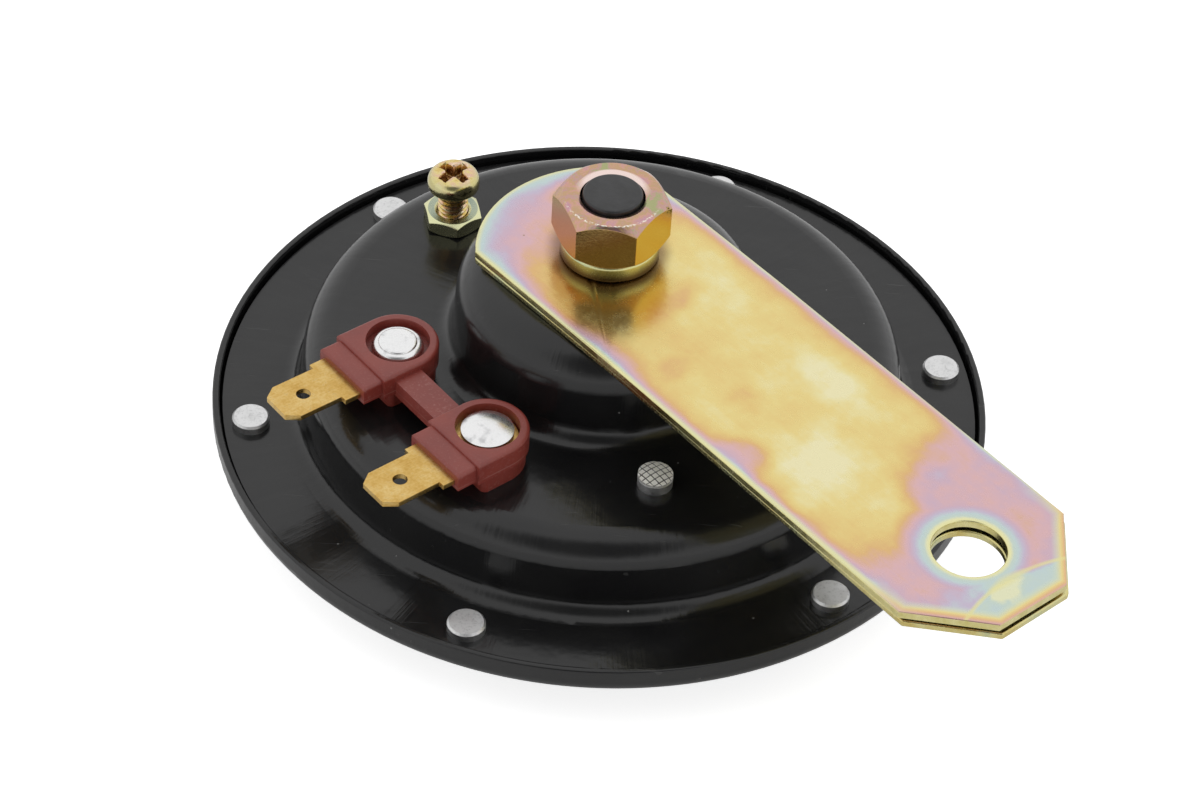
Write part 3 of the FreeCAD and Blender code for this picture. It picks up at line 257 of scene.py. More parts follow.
# %% Bracket: place along (u) and across (v), in mm
BRACKET_TURN = math.radians(47.3)
HALF_WIDE, HEAD_R, END_AT, HOLE_AT, HOLE_R = 13.4, 16.8, 76.3, 65.2, 4.5
CHAMFER_WIDE, CHAMFER_LONG = 8.0, 8.6
BOW_AT, BOW_R = 93.1, 21.5
CHAMFER = Vector((CHAMFER_WIDE, CHAMFER_LONG)).normalized()
END_HALF = HALF_WIDE - CHAMFER_WIDE

yellow_zinc, tree, place, coordinates = finish_named("yellow_chromate_zinc")
own = add(tree, "Mapping", {"Vector": place, "Rotation": (0, 0, BRACKET_TURN)})
drift = add(tree, "TexNoise", {"Vector": own, "Scale": 1 / 7.0, "Detail": 3.0})
shift = add(tree, "VectorMath", {0: drift.outputs["Color"], 1: (0.5, 0.5, 0.5)}, operation="SUBTRACT")
drifted = add(tree, "VectorMath", {0: shift, 1: (5.0, 2.4, 0.0), 2: own}, operation="MULTIPLY_ADD")
wavy = add(tree, "SeparateXYZ", {"Vector": drifted})
exact = add(tree, "SeparateXYZ", {"Vector": own})
across = add(tree, "Math", {0: exact.outputs["Y"]}, operation="ABSOLUTE")
to_side = add(tree, "Math", {0: HALF_WIDE, 1: across}, operation="SUBTRACT")
to_end = add(tree, "Math", {0: END_AT, 1: exact.outputs["X"]}, operation="SUBTRACT")
print("bracket axes turned", math.degrees(BRACKET_TURN), "degrees")

# %% Bracket: distance to the nearest edge
slant = add(tree, "Math", {0: to_end, 1: CHAMFER.x}, operation="MULTIPLY")
from_corner = add(tree, "Math", {0: END_HALF, 1: across}, operation="SUBTRACT")
to_chamfer = add(tree, "Math", {0: from_corner, 1: CHAMFER.y, 2: slant}, operation="MULTIPLY_ADD")
behind = add(tree, "Math", {0: exact.outputs["X"], 1: 0.0}, operation="MINIMUM")
round_end = add(tree, "CombineXYZ", {"X": behind, "Y": exact.outputs["Y"]})
to_head = add(tree, "Math", {0: HEAD_R, 1: from_axis(tree, round_end)}, operation="SUBTRACT")
nearest = to_side
for other in (to_end, to_chamfer, to_head):
    nearest = add(tree, "Math", {0: nearest, 1: other}, operation="MINIMUM")
jitter = add(tree, "Math", {0: drift, 1: 1.2, 2: -0.6}, operation="MULTIPLY_ADD")
edge_far = add(tree, "Math", {0: nearest, 1: jitter}, operation="ADD")
edge_far = add(tree, "Math", {0: edge_far, 1: 0.0}, operation="MAXIMUM")
print("edge distance made")

# %% [markdown]
# The fringes are narrow along the straight sides and two or three times as wide round the stud,
# where the bath drained. The film is thinner past 50 mm, behind the stud, beyond a bow across the
# tip, in a band round the hole, and in a few pools where drops hung.

# %% Bracket: film thickness from the edges
head_spread = add(tree, "MapRange", {"Value": exact.outputs["X"], "From Min": 1.0, "From Max": -8.0,
                                     "To Min": 1.2, "To Max": 3.2}, **SMOOTH)
share = add(tree, "Math", {0: edge_far, 1: head_spread}, operation="DIVIDE")
share = add(tree, "Math", {0: share, 1: -1.0}, operation="MULTIPLY")
fade = add(tree, "Math", {0: share}, operation="EXPONENT")
edge_share = add(tree, "Math", {0: fade, 1: -0.90, 2: 1.0}, operation="MULTIPLY_ADD")
lag = add(tree, "MapRange", {"Value": wavy.outputs["Y"], "From Min": 3.0, "From Max": -3.0,
                             "To Min": 49.5, "To Max": 59.0}, **SMOOTH)
past = add(tree, "Math", {0: wavy.outputs["X"], 1: lag}, operation="SUBTRACT")
film = add(tree, "MapRange", {"Value": past, "From Min": -4.5, "From Max": 5.0,
                              "To Min": 0.85, "To Max": 0.46}, **SMOOTH)
bow = add(tree, "Math", {0: from_axis(tree, own, BOW_AT), 1: BOW_R}, operation="SUBTRACT")
tip = add(tree, "MapRange", {"Value": bow, "From Min": 0.6, "From Max": -1.0, "To Max": -0.32}, **SMOOTH)
stud_end = add(tree, "MapRange", {"Value": wavy.outputs["X"], "From Min": 5.0, "From Max": -6.0,
                                  "To Max": -0.33}, **SMOOTH)
clouds = add(tree, "TexNoise", {"Vector": own, "Scale": 1 / 5.5, "Detail": 3.0, "Roughness": 0.6})
clouds = add(tree, "Math", {0: clouds, 1: 0.4, 2: -0.2}, operation="MULTIPLY_ADD")
for part in (tip, stud_end, clouds):
    film = add(tree, "Math", {0: film, 1: part}, operation="ADD")
film = add(tree, "Math", {0: film, 1: edge_share}, operation="MULTIPLY")
print("film made from the edges")

# %% Bracket: pools and drips, each as (u, v, half long, half wide, film)
POOLS = [(37.5, -11.0, 5.0, 4.0, -0.30), (14.0, -11.8, 8.0, 3.4, -0.22), (21.0, -8.0, 3.4, 3.4, -0.14),
         (20.0, -4.0, 12.0, 3.6, -0.10), (31.0, -4.0, 4.5, 3.2, -0.14), (12.0, 0.0, 3.2, 7.0, -0.20),
         (44.5, -4.0, 7.5, 8.0, 0.17), (35.0, 6.0, 10.0, 5.0, 0.13), (47.0, -11.6, 4.5, 3.4, 0.14),
         (53.5, 5.0, 4.0, 3.8, -0.10), (70.5, -6.5, 5.0, 4.0, -0.16), (71.0, -1.0, 3.4, 5.5, -0.30),
         (-12.0, 3.5, 4.5, 4.5, 0.26), (-4.0, -9.0, 5.0, 4.0, 0.12), (14.0, 5.0, 9.0, 5.0, 0.05)]
for u, v, half_long, half_wide, amount in POOLS:
    away = add(tree, "VectorMath", {0: drifted, 1: (u, v, 0)}, operation="SUBTRACT")
    scaled = add(tree, "VectorMath", {0: away, 1: (1 / half_long, 1 / half_wide, 0)},
                 operation="MULTIPLY")
    far = add(tree, "VectorMath", {0: scaled}, operation="LENGTH").outputs["Value"]
    pool = add(tree, "MapRange", {"Value": far, "From Min": 1.0, "From Max": 0.15, "To Max": amount},
               **SMOOTH)
    film = add(tree, "Math", {0: film, 1: pool}, operation="ADD")
hole_far = from_axis(tree, own, HOLE_AT)
hole_film = add(tree, "Math", {0: hole_far, 1: 0.17, 2: -0.05 - 0.17 * HOLE_R}, operation="MULTIPLY_ADD")
film = add(tree, "Math", {0: film, 1: hole_film, 2: 0.08}, operation="SMOOTH_MIN")
print(len(POOLS), "pools")

# %% Bracket: colours of the film
fine = add(tree, "TexNoise", {"Vector": own, "Scale": 1 / 1.6, "Detail": 5.0, "Roughness": 0.7})
rolled_place = add(tree, "Mapping", {"Vector": own, "Scale": (0.05, 2.4, 1.0)})
rolled = add(tree, "TexNoise", {"Vector": rolled_place, "Scale": 1.0, "Detail": 4.0})
film = add(tree, "Math", {0: fine, 1: 0.10, 2: film}, operation="MULTIPLY_ADD")
film = add(tree, "Math", {0: rolled, 1: 0.06, 2: film}, operation="MULTIPLY_ADD")
film = add(tree, "Math", {0: film, 1: 0.08}, operation="SUBTRACT")
face_colour = add(tree, "ValToRGB", {"Fac": film}, stops=[
    (0.00, "dfe0bd"), (0.08, "c4d2c7"), (0.17, "c0d0d0"), (0.27, "c4b9cb"), (0.36, "ccb0be"),
    (0.45, "d8b2b4"), (0.54, "d9b09a"), (0.63, "dcb57e"), (0.74, "e1c582"), (0.85, "e4d08c"),
    (0.94, "e6daa2"), (1.00, "e8e0b4")])
print("film coloured")

# %% [markdown]
# Layers go over the film one by one: a painted highlight, a cream line, along every rim, a painted
# highlight of its own at the tip in the film's tints, the bow's pale streak, the cut edges in a tint of
# their own that is painted paler to stand in for the light that they mirror, brown pits, and painted
# shade in a dark ring round the washer.

# %% Bracket: where the layers lie
# Painted highlights: a cream line along every rim, and a line in the film's tints along the tip's rim.
rim_far = add(tree, "Math", {0: hole_far, 1: HOLE_R}, operation="SUBTRACT")
rim_far = add(tree, "Math", {0: nearest, 1: rim_far}, operation="MINIMUM")
rim_highlight = add(tree, "MapRange", {"Value": rim_far, "From Min": 0.75, "From Max": 0.15, "To Max": 0.8})
at_tip = add(tree, "MapRange", {"Value": wavy.outputs["X"], "From Min": 62.0, "From Max": 69.0})
at_rim = add(tree, "MapRange", {"Value": nearest, "From Min": 1.9, "From Max": 0.7})
tip_highlight = add(tree, "Math", {0: at_tip, 1: at_rim}, operation="MULTIPLY")
bow_wide = add(tree, "MapRange", {"Value": across, "From Min": 0.5, "From Max": 3.5,
                                  "To Min": 1.0, "To Max": 0.4})
off_bow = add(tree, "Math", {0: apart(tree, bow, 0.0), 1: bow_wide}, operation="DIVIDE")
streak = add(tree, "MapRange", {"Value": off_bow, "From Min": 1.0, "From Max": 0.2, "To Max": 0.7})
# The cut edges, where the faces turn upright, get a tint of their own, painted paler to stand in for the
# light that they mirror.
facing = add(tree, "SeparateXYZ", {"Vector": coordinates.outputs["Normal"]})
flatness = add(tree, "Math", {0: facing.outputs["Z"]}, operation="ABSOLUTE")
cut_edge_and_sheen = add(tree, "MapRange", {"Value": flatness, "From Min": 0.75, "From Max": 0.25})
pit = add(tree, "TexVoronoi", {"Vector": own, "Scale": 1 / 2.2})
pit_pick = add(tree, "SeparateColor", {"Color": pit.outputs["Color"]})
pit_size = add(tree, "MapRange", {"Value": pit_pick.outputs["Green"], "From Min": 0.8, "To Max": 0.05})
pitted = add(tree, "Math", {0: pit.outputs["Distance"], 1: pit_size}, operation="LESS_THAN")
# Painted shade: a dark ring on the bracket round the washer, with a wavy outer edge.
stud_far = add(tree, "Math", {0: drift, 1: 1.6, 2: from_axis(tree, own)}, operation="MULTIPLY_ADD")
washer_shade = add(tree, "MapRange", {"Value": stud_far, "From Min": 9.4, "From Max": 7.2, "To Max": 0.7},
            **SMOOTH)
print("layers placed")

# %% Bracket: the metal
# Colours of the tip's painted highlight, from its rim inwards.
tip_far = add(tree, "Math", {0: nearest, 1: 0.5}, operation="MULTIPLY")
tip_highlight_colour = add(tree, "ValToRGB", {"Fac": tip_far},
                 stops=[(0.0, "d7ada6"), (0.16, "e0b78a"), (0.38, "e6d592"), (0.75, "d5dbba")])
# The cut edges' tint, painted pale as a sheen.
cut_edge_sheen_colour = add(tree, "ValToRGB", {"Fac": fine}, stops=[(0.3, "cdc178"), (0.7, "e8e0a8")])
for mask, colour in ((rim_highlight, linear("e6e0a4")), (tip_highlight, tip_highlight_colour), (streak, linear("e3dc9c")),
                     (cut_edge_and_sheen, cut_edge_sheen_colour), (pitted, linear("8d7a50")),
                     (washer_shade, linear("6e5344"))):
    face_colour = add(tree, "Mix", {"Factor": mask, "A": face_colour, "B": colour},
                      data_type="RGBA").outputs["Result"]
finished(tree, face_colour, (fine, 0.2, 0.3), [(fine, 0.05, 0.25), (rolled, 0.06, 0.1)],
         {"Metallic": 1.0})
print("yellow zinc ready")

# %% [markdown]
# ## Zinc on the small parts
# The lower leaf, the nut, the washer, the screw and the lock nut hung in the same kind of bath, but
# each came out a little different: brassy, rosy, green or nearly clear. They share one recipe, a
# metal whose tint wanders over a few millimetres, with a fine grain from plating on rolled, cut or
# turned steel. Each gets its own list of tints and its own roughness.

# %% Barrel-plated zinc
def plated(name, tints, patch, low, high, grit):
    """Zinc with wandering tints: patch and grit are the sizes of its patches and grain in mm."""
    material, tree, place, coordinates = finish_named(name)
    wander = add(tree, "TexNoise", {"Vector": place, "Scale": 1 / patch, "Detail": 3.0,
                                    "Distortion": 0.6})
    grain = add(tree, "TexNoise", {"Vector": place, "Scale": 1 / grit, "Detail": 3.0})
    blend = add(tree, "Math", {0: grain, 1: 0.25, 2: -0.125}, operation="MULTIPLY_ADD")
    blend = add(tree, "Math", {0: wander, 1: blend}, operation="ADD")
    tint = add(tree, "ValToRGB", {"Fac": blend}, stops=tints)
    shader = finished(tree, tint, (grain, low, high), [(grain, 0.12, 0.5 * grit)], {"Metallic": 1.0})
    return material, tree, place, coordinates, tint, shader


FOOT_FROM, FOOT_TO = 36.7, 35.2
brassy_zinc = plated("brassy_zinc", [(0.32, "c9b46c"), (0.5, "d8cf94"), (0.68, "bfc49a")],
                     6.0, 0.2, 0.3, 0.25)[0]
green_zinc, tree, place, _, pale_green, green_shader = plated(
    "pale_green_zinc", [(0.3, "c8c27c"), (0.5, "d8d59c"), (0.7, "b9c29a")], 4.0, 0.18, 0.28, 0.2)
# Painted shade: the washer darkens towards its foot, where it sits on the bracket.
height = add(tree, "SeparateXYZ", {"Vector": place})
foot_shade = add(tree, "MapRange", {"Value": height.outputs["Z"], "From Min": FOOT_FROM, "From Max": FOOT_TO,
                              "To Max": 0.9})
shaded_foot = add(tree, "Mix", {"Factor": foot_shade, "A": pale_green, "B": linear("6e5a44")}, data_type="RGBA")
tree.links.new(shaded_foot.outputs["Result"], green_shader.inputs["Base Color"])
clear_zinc, tree, _, coordinates, clear_tint, clear_shader = plated(
    "clear_zinc", [(0.3, "97a292"), (0.5, "a7b09c"), (0.7, "b4b99a")], 3.5, 0.2, 0.3, 0.18)
# Painted highlight: all that slopes away from the flat top, the chamfer and the sides, is painted pale
# cream.
facing = add(tree, "SeparateXYZ", {"Vector": coordinates.outputs["Normal"]})
chamfer_highlight = add(tree, "MapRange", {"Value": facing.outputs["Z"], "From Min": 0.98, "From Max": 0.9})
lock_lit_colour = add(tree, "Mix", {"Factor": chamfer_highlight, "A": clear_tint, "B": linear("dcdcae")},
                  data_type="RGBA")
tree.links.new(lock_lit_colour.outputs["Result"], clear_shader.inputs["Base Color"])
print("plated zinc ready")

# %% [markdown]
# The nut is rosy on top, and its sides carry painted reflections: amber to the left, bronze in front and
# mustard yellow on the right. A painted highlight, a bright broken line, runs round the turned ring on
# the near side. A side's tint follows the way that it faces, and the ring's line follows the distance
# from the stud's axis. The far side of the countersink is pale, as it mirrors the tent.

# %% Rosy zinc on the nut
NUT_FLAT_HALF, SINK_R = 6.5, 4.95
NUT_RING_R = 0.95 * NUT_FLAT_HALF
rosy_zinc, tree, place, coordinates, nut_colour, rosy_shader = plated(
    "rosy_zinc", [(0.30, "c497a0"), (0.42, "cc9f8c"), (0.50, "bfa079"), (0.58, "c49a96"),
                  (0.68, "a9aa7c")], 2.4, 0.15, 0.22, 0.3)
facing = add(tree, "SeparateXYZ", {"Vector": coordinates.outputs["Normal"]})
# Painted reflections on the nut's sides: amber on every side, mustard on those that face right, bronze on
# those that face front.
upright = add(tree, "MapRange", {"Value": facing.outputs["Z"], "From Min": 0.5, "From Max": 0.1})
to_right = add(tree, "MapRange", {"Value": facing.outputs["X"], "From Min": 0.2, "From Max": 0.75},
               **SMOOTH)
right_side_reflection = add(tree, "Math", {0: to_right, 1: upright}, operation="MULTIPLY")
to_front = add(tree, "MapRange", {"Value": facing.outputs["Y"], "From Min": -0.7, "From Max": -0.9})
front_side_reflection = add(tree, "Math", {0: to_front, 1: upright}, operation="MULTIPLY")
print("nut's sides tinted")

# %% Nut: the painted glint on the ring, and the countersink
ring_far = from_axis(tree, place)
off_ring = apart(tree, ring_far, NUT_RING_R)
# Painted highlight: a broken bright line round the turned ring, on its near side only, stands for glints.
ring_glint = add(tree, "MapRange", {"Value": off_ring, "From Min": 0.16, "From Max": 0.05})
near_side = add(tree, "SeparateXYZ", {"Vector": place})
near_side = add(tree, "MapRange", {"Value": near_side.outputs["Y"], "From Min": -1.5, "From Max": -4.0})
dots = add(tree, "TexNoise", {"Vector": place, "Scale": 1 / 0.3, "Detail": 3.0})
dotted = add(tree, "MapRange", {"Value": dots, "From Min": 0.45, "From Max": 0.6})
top_only = add(tree, "MapRange", {"Value": facing.outputs["Z"], "From Min": 0.5, "From Max": 0.7})
for mask in (near_side, dotted, top_only):
    ring_glint = add(tree, "Math", {0: ring_glint, 1: mask}, operation="MULTIPLY")
in_sink = add(tree, "MapRange", {"Value": ring_far, "From Min": SINK_R, "From Max": SINK_R - 0.2})
to_viewer = add(tree, "MapRange", {"Value": facing.outputs["Y"], "From Min": -0.02, "From Max": -0.22})
in_sink = add(tree, "Math", {0: in_sink, 1: to_viewer}, operation="MULTIPLY")
for mask, code in ((upright, "c49a62"), (right_side_reflection, "d6b243"), (front_side_reflection, "c2a064"), (ring_glint, "f4ecdf"),
                   (in_sink, "efd9d2")):
    nut_colour = add(tree, "Mix", {"Factor": mask, "A": nut_colour, "B": linear(code)},
                     data_type="RGBA").outputs["Result"]
tree.links.new(nut_colour, rosy_shader.inputs["Base Color"])
print("ring at", NUT_RING_R, "mm")

# %% [markdown]
# The screw is gold with rose and cream patches, and its recess is a darker amber, because little
# light gets down there and the film lies thick in it.

# %% Amber zinc on the screw
SCREW_X, SCREW_Y, SHANK_TOP = -20.857, 21.003, 26.4
screw_low, screw_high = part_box("adjusting_screw")
screw_zinc, tree, place, _, screw_colour, amber_shader = plated(
    "amber_zinc", [(0.3, "cfae62"), (0.42, "e2cf90"), (0.52, "dcb49c"), (0.62, "ecdfc0"),
                   (0.75, "c3bf86")], 1.5, 0.14, 0.22, 0.2)
depth = add(tree, "SeparateXYZ", {"Vector": place})
in_recess = add(tree, "MapRange", {"Value": depth.outputs["Z"], "From Min": screw_high.z / MM - 0.7,
                                   "From Max": screw_high.z / MM - 1.4})
in_head = add(tree, "MapRange", {"Value": depth.outputs["Z"], "From Min": SHANK_TOP,
                                 "From Max": SHANK_TOP + 0.6})
screw_far = from_axis(tree, place, SCREW_X, SCREW_Y)
inside = add(tree, "MapRange", {"Value": screw_far, "From Min": 2.2, "From Max": 1.9})
for mask in (in_head, inside):
    in_recess = add(tree, "Math", {0: in_recess, 1: mask}, operation="MULTIPLY")
at_brim = add(tree, "MapRange", {"Value": screw_far, "From Min": 2.3, "From Max": 3.1, "To Max": 0.8})
for mask, code in ((at_brim, "cbc68e"), (in_recess, "8a6a42")):
    screw_colour = add(tree, "Mix", {"Factor": mask, "A": screw_colour, "B": linear(code)},
                       data_type="RGBA").outputs["Result"]
tree.links.new(screw_colour, amber_shader.inputs["Base Color"])
print("screw's head ends at", screw_high.z / MM)

# %% [markdown]
# ## Blacked steel of the stud
# The stud is turned steel with a black phosphate coat. It is duller than the paint and shows faint
# turning rings on its end, and rubbed patches where spanners and fingers touched it.

# %% Blacked steel
TURNED_PITCH = 0.35
stud_black, tree, place, _ = finish_named("black_phosphated_steel")
turned = from_axis(tree, place)
turned = add(tree, "Math", {0: turned, 1: 2 * math.pi / TURNED_PITCH}, operation="MULTIPLY")
turned = add(tree, "Math", {0: turned}, operation="SINE")
rub = add(tree, "TexNoise", {"Vector": place, "Scale": 1 / 1.4, "Detail": 5.0})
tone = add(tree, "ValToRGB", {"Fac": rub}, stops=[(0.35, "171718"), (0.75, "2c2c2e")])
finished(tree, tone, (rub, 0.3, 0.4), [(turned, 0.05, 0.02), (rub, 0.1, 0.2)], {"IOR": 1.55})
print("stud ready")

# %% [markdown]
# ## Aluminium rivets
# The rivets are headed cold from soft aluminium wire. The heads are bright where the tool struck
# them and stay matt and pitted elsewhere, with patches that handling has rubbed a little grey.

# %% Aluminium
def aluminium(name, dull, code, grey, low, high, pits):
    """Cold-headed aluminium, rubbed grey in places. Pits is the height of its fine dents in mm."""
    material, tree, place, _ = finish_named(name)
    dents = add(tree, "TexNoise", {"Vector": place, "Scale": 1 / 0.35, "Detail": 4.0, "Roughness": 0.6})
    smear = add(tree, "TexNoise", {"Vector": place, "Scale": 1 / 1.8, "Detail": 3.0})
    lighter = add(tree, "MapRange", {"Value": dents, "From Min": 0.3, "From Max": 0.5})
    rubbed = add(tree, "MapRange", {"Value": smear, "From Min": 0.56, "From Max": 0.68, "To Max": 0.6})
    tone = linear(dull)
    for mask, over in ((lighter, code), (rubbed, grey)):
        tone = add(tree, "Mix", {"Factor": mask, "A": tone, "B": linear(over)},
                   data_type="RGBA").outputs["Result"]
    finished(tree, tone, (smear, low, high), [(dents, 0.3, pits)], {"Metallic": 1.0}, span=(0.35, 0.65))
    return material


matt_aluminium = aluminium("matt_aluminium", "c2c2c2", "dcdcdc", "cfcfcf", 0.36, 0.5, 0.05)
bright_aluminium = aluminium("struck_aluminium", "e6e6e6", "ebebeb", "a8a8aa", 0.20, 0.31, 0.003)
print("aluminium ready")

# %% [markdown]
# ## Phenolic moulding
# The terminal block is a red-brown phenolic, pressed hot in a steel mould. It comes out satin, with
# a fine orange-peel skin, slightly cloudy where the powder flowed, and dusty with pale filler low
# down and along the line where the mould parted. It is a dielectric and never mirrors sharply.

# %% Red-brown phenolic
SEAM_Z, WEB_FROM, WEB_TO = 23.0, 25.1, 24.6
phenolic, tree, place, _ = finish_named("red_brown_phenolic")
cloud = add(tree, "TexNoise", {"Vector": place, "Scale": 1 / 5.0, "Detail": 4.0})
filler = add(tree, "TexNoise", {"Vector": place, "Scale": 1 / 0.32, "Detail": 3.0, "Roughness": 0.6})
base_tone = add(tree, "ValToRGB", {"Fac": cloud}, stops=[(0.3, "7c2e26"), (0.7, "8c3a2f")])
pale = add(tree, "MapRange", {"Value": filler, "From Min": 0.56, "From Max": 0.72, "To Max": 0.5})
height = add(tree, "SeparateXYZ", {"Vector": place}).outputs["Z"]
low_web = add(tree, "MapRange", {"Value": height, "From Min": WEB_FROM, "From Max": WEB_TO,
                                 "To Min": 0.35})
pale = add(tree, "Math", {0: pale, 1: low_web}, operation="MULTIPLY")
seam = add(tree, "MapRange", {"Value": apart(tree, height, SEAM_Z), "From Min": 0.1, "From Max": 0.03})
flash = add(tree, "MapRange", {"Value": cloud, "From Min": 0.42, "From Max": 0.56,
                               "To Min": 0.1, "To Max": 0.7})
seam = add(tree, "Math", {0: seam, 1: flash}, operation="MULTIPLY")
pale = add(tree, "Math", {0: pale, 1: seam}, operation="MAXIMUM")
tone = add(tree, "Mix", {"Factor": pale, "A": base_tone, "B": linear("a4706a")}, data_type="RGBA")
finished(tree, tone.outputs["Result"], (cloud, 0.36, 0.46), [(filler, 0.16, 0.12)], {"IOR": 1.6})
print("phenolic ready")

# %% [markdown]
# ## Rolled brass
# The tabs are stamped from rolled brass strip. Rolling leaves fine lines along the strip, handling
# leaves tiny brown spots, and the punch leaves brighter, rougher edges. The lines run along the
# tabs, which point 140 degrees round from X, so their pattern is stretched in that direction.

# %% Brass
TAB_TURN = math.radians(140.0)
brass, tree, place, _ = finish_named("rolled_brass")
along_tab = add(tree, "Mapping", {"Vector": place, "Rotation": (0, 0, TAB_TURN)})
line_place = add(tree, "Mapping", {"Vector": along_tab, "Scale": (0.3, 4.0, 1.0)})
lines = add(tree, "TexNoise", {"Vector": line_place, "Scale": 1.0, "Detail": 5.0, "Roughness": 0.65})
spots = add(tree, "TexNoise", {"Vector": place, "Scale": 1 / 0.35, "Detail": 3.0})
wander = add(tree, "TexNoise", {"Vector": place, "Scale": 1 / 3.0, "Detail": 2.0})
mixed = add(tree, "Math", {0: lines, 1: 0.25}, operation="MULTIPLY")
mixed = add(tree, "Math", {0: wander, 1: 0.4, 2: mixed}, operation="MULTIPLY_ADD")
mixed = add(tree, "Math", {0: spots, 1: 0.35, 2: mixed}, operation="MULTIPLY_ADD")
strip = add(tree, "ValToRGB", {"Fac": mixed}, stops=[(0.38, "c49c52"), (0.5, "d2ae66"), (0.62, "dfc283")])
spotted = add(tree, "MapRange", {"Value": spots, "From Min": 0.62, "From Max": 0.7, "To Max": 0.3})
tone = add(tree, "Mix", {"Factor": spotted, "A": strip, "B": linear("8f6a34")}, data_type="RGBA")
finished(tree, tone.outputs["Result"], (lines, 0.28, 0.4), [(lines, 0.15, 0.04), (spots, 0.15, 0.06)],
         {"Metallic": 1.0})
print("brass ready")

# %% [markdown]
# ## Finishes inside the horn
# The inner parts show through the sound slots and when the horn is opened: bare steel stampings
# with rolling lines, pressed fibre, nylon, tungsten contacts and enamelled copper wire.

# %% Bare steel
bare_steel, tree, place, _ = finish_named("bare_rolled_steel")
line_place = add(tree, "Mapping", {"Vector": place, "Scale": (0.15, 3.0, 3.0)})
lines = add(tree, "TexNoise", {"Vector": line_place, "Scale": 1.0, "Detail": 4.0})
tone = add(tree, "ValToRGB", {"Fac": lines}, stops=[(0.3, "8f8f90"), (0.7, "b2b2b1")])
finished(tree, tone, (lines, 0.24, 0.38), [(lines, 0.15, 0.05)], {"Metallic": 1.0})
print("bare steel ready")

# %% Fibre, nylon and tungsten
def granular(name, stops, grit, rough, metallic, depth):
    """A grainy stuff: grit is its grain in mm and depth the height of the grain in mm."""
    material, tree, place, _ = finish_named(name)
    grain = add(tree, "TexNoise", {"Vector": place, "Scale": 1 / grit, "Detail": 4.0, "Roughness": 0.65})
    tone = add(tree, "ValToRGB", {"Fac": grain}, stops=stops)
    finished(tree, tone, rough, [(grain, 0.3, depth)], {"Metallic": metallic})
    return material


fibre_gasket = granular("pressed_fibre", [(0.3, "2c2823"), (0.7, "4a4238")], 0.5, 0.85, 0.0, 0.1)
hard_fibre = granular("hard_red_fibre", [(0.3, "5c2c1c"), (0.7, "743c28")], 0.4, 0.6, 0.0, 0.06)
nylon = granular("natural_nylon", [(0.3, "d2cbb6"), (0.7, "e0dac8")], 1.5, 0.4, 0.0, 0.05)
tungsten = granular("tungsten", [(0.3, "9c9c98"), (0.7, "c0c0ba")], 0.25, 0.3, 1.0, 0.03)
print("inner finishes ready")

# %% Enamelled copper wire, wound in turns 0.5 mm apart
WIRE_PITCH = 0.5
wire, tree, place, _ = finish_named("enamelled_copper_wire")
height = add(tree, "SeparateXYZ", {"Vector": place}).outputs["Z"]
turns = add(tree, "Math", {0: height, 1: 2 * math.pi / WIRE_PITCH}, operation="MULTIPLY")
turns = add(tree, "Math", {0: turns}, operation="SINE")
wander = add(tree, "TexNoise", {"Vector": place, "Scale": 1 / 3.0, "Detail": 3.0})
tone = add(tree, "ValToRGB", {"Fac": wander}, stops=[(0.3, "9c5226"), (0.7, "c07842")])
finished(tree, tone, 0.3, [(turns, 0.5, 0.12)], {"Metallic": 1.0, "Coat Weight": 0.6})
print("wire turns", WIRE_PITCH, "mm apart")

# %% [markdown]
# ## Finishes onto the CAD nodes
# Most nodes already have the right shape, so they only get their finish in their material slots.
# The record names a slot for every node, and this table says which finish each slot is.

# %% Finish of each slot
FINISH = {"shell_paint": black_paint, "stud_black": stud_black, "zinc_yellow": yellow_zinc,
          "zinc_nut": rosy_zinc, "zinc_washer": green_zinc, "zinc_screw": screw_zinc,
          "zinc_pale": clear_zinc, "rivet_aluminium": matt_aluminium, "moulding_brown": phenolic,
          "brass_tab": brass, "gasket_fibre": fibre_gasket, "insulator": hard_fibre,
          "steel_bare": bare_steel, "contact_metal": tungsten, "bobbin_plastic": nylon,
          "copper_wire": wire}
slot_of = {s["node"]: s["material_slot"] for s in frame["record"]["subparts"]}
for name, node in nodes.items():
    for held in node.material_slots:
        held.material = FINISH[slot_of[name]]
for name in ("terminal_rivet_left", "terminal_rivet_right"):
    for held in nodes[name].material_slots:
        held.material = bright_aluminium
print(len(FINISH), "slots finished")

# %% [markdown]
# ## Softened edges
# A real edge is never a knife edge: stamping, moulding and plating all leave it rounded by a tenth
# of a millimetre or more, and that narrow round is what shines. A CAD node's mesh is loose
# triangles, so a copy is welded first, its flat areas are joined into single faces, and a Bevel
# modifier rounds every edge that turns by more than 30 degrees. The copy then stands for its node.
# Two more functions serve the pieces below: one makes an object, and one turns a profile round Z.

# %% Functions for pieces
def piece(name, bm, material, stands_for=(), sharp=None):
    """Makes an object of a bmesh. It rides on the housing and may stand for CAD nodes. It is smooth
    apart from edges that turn by more than sharp degrees, and flat all over at 0."""
    mesh = bpy.data.meshes.new(name)
    bm.to_mesh(mesh)
    bm.free()
    mesh.materials.append(material)
    mesh.polygons.foreach_set("use_smooth", [sharp != 0] * len(mesh.polygons))
    if sharp:
        mesh.set_sharp_from_angle(angle=math.radians(sharp))
    made = bpy.data.objects.new(name, mesh)
    scene.collection.objects.link(made)
    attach(made, "housing")
    if stands_for:
        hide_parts(*stands_for)
    print(name, "has", len(mesh.polygons), "faces")
    return made


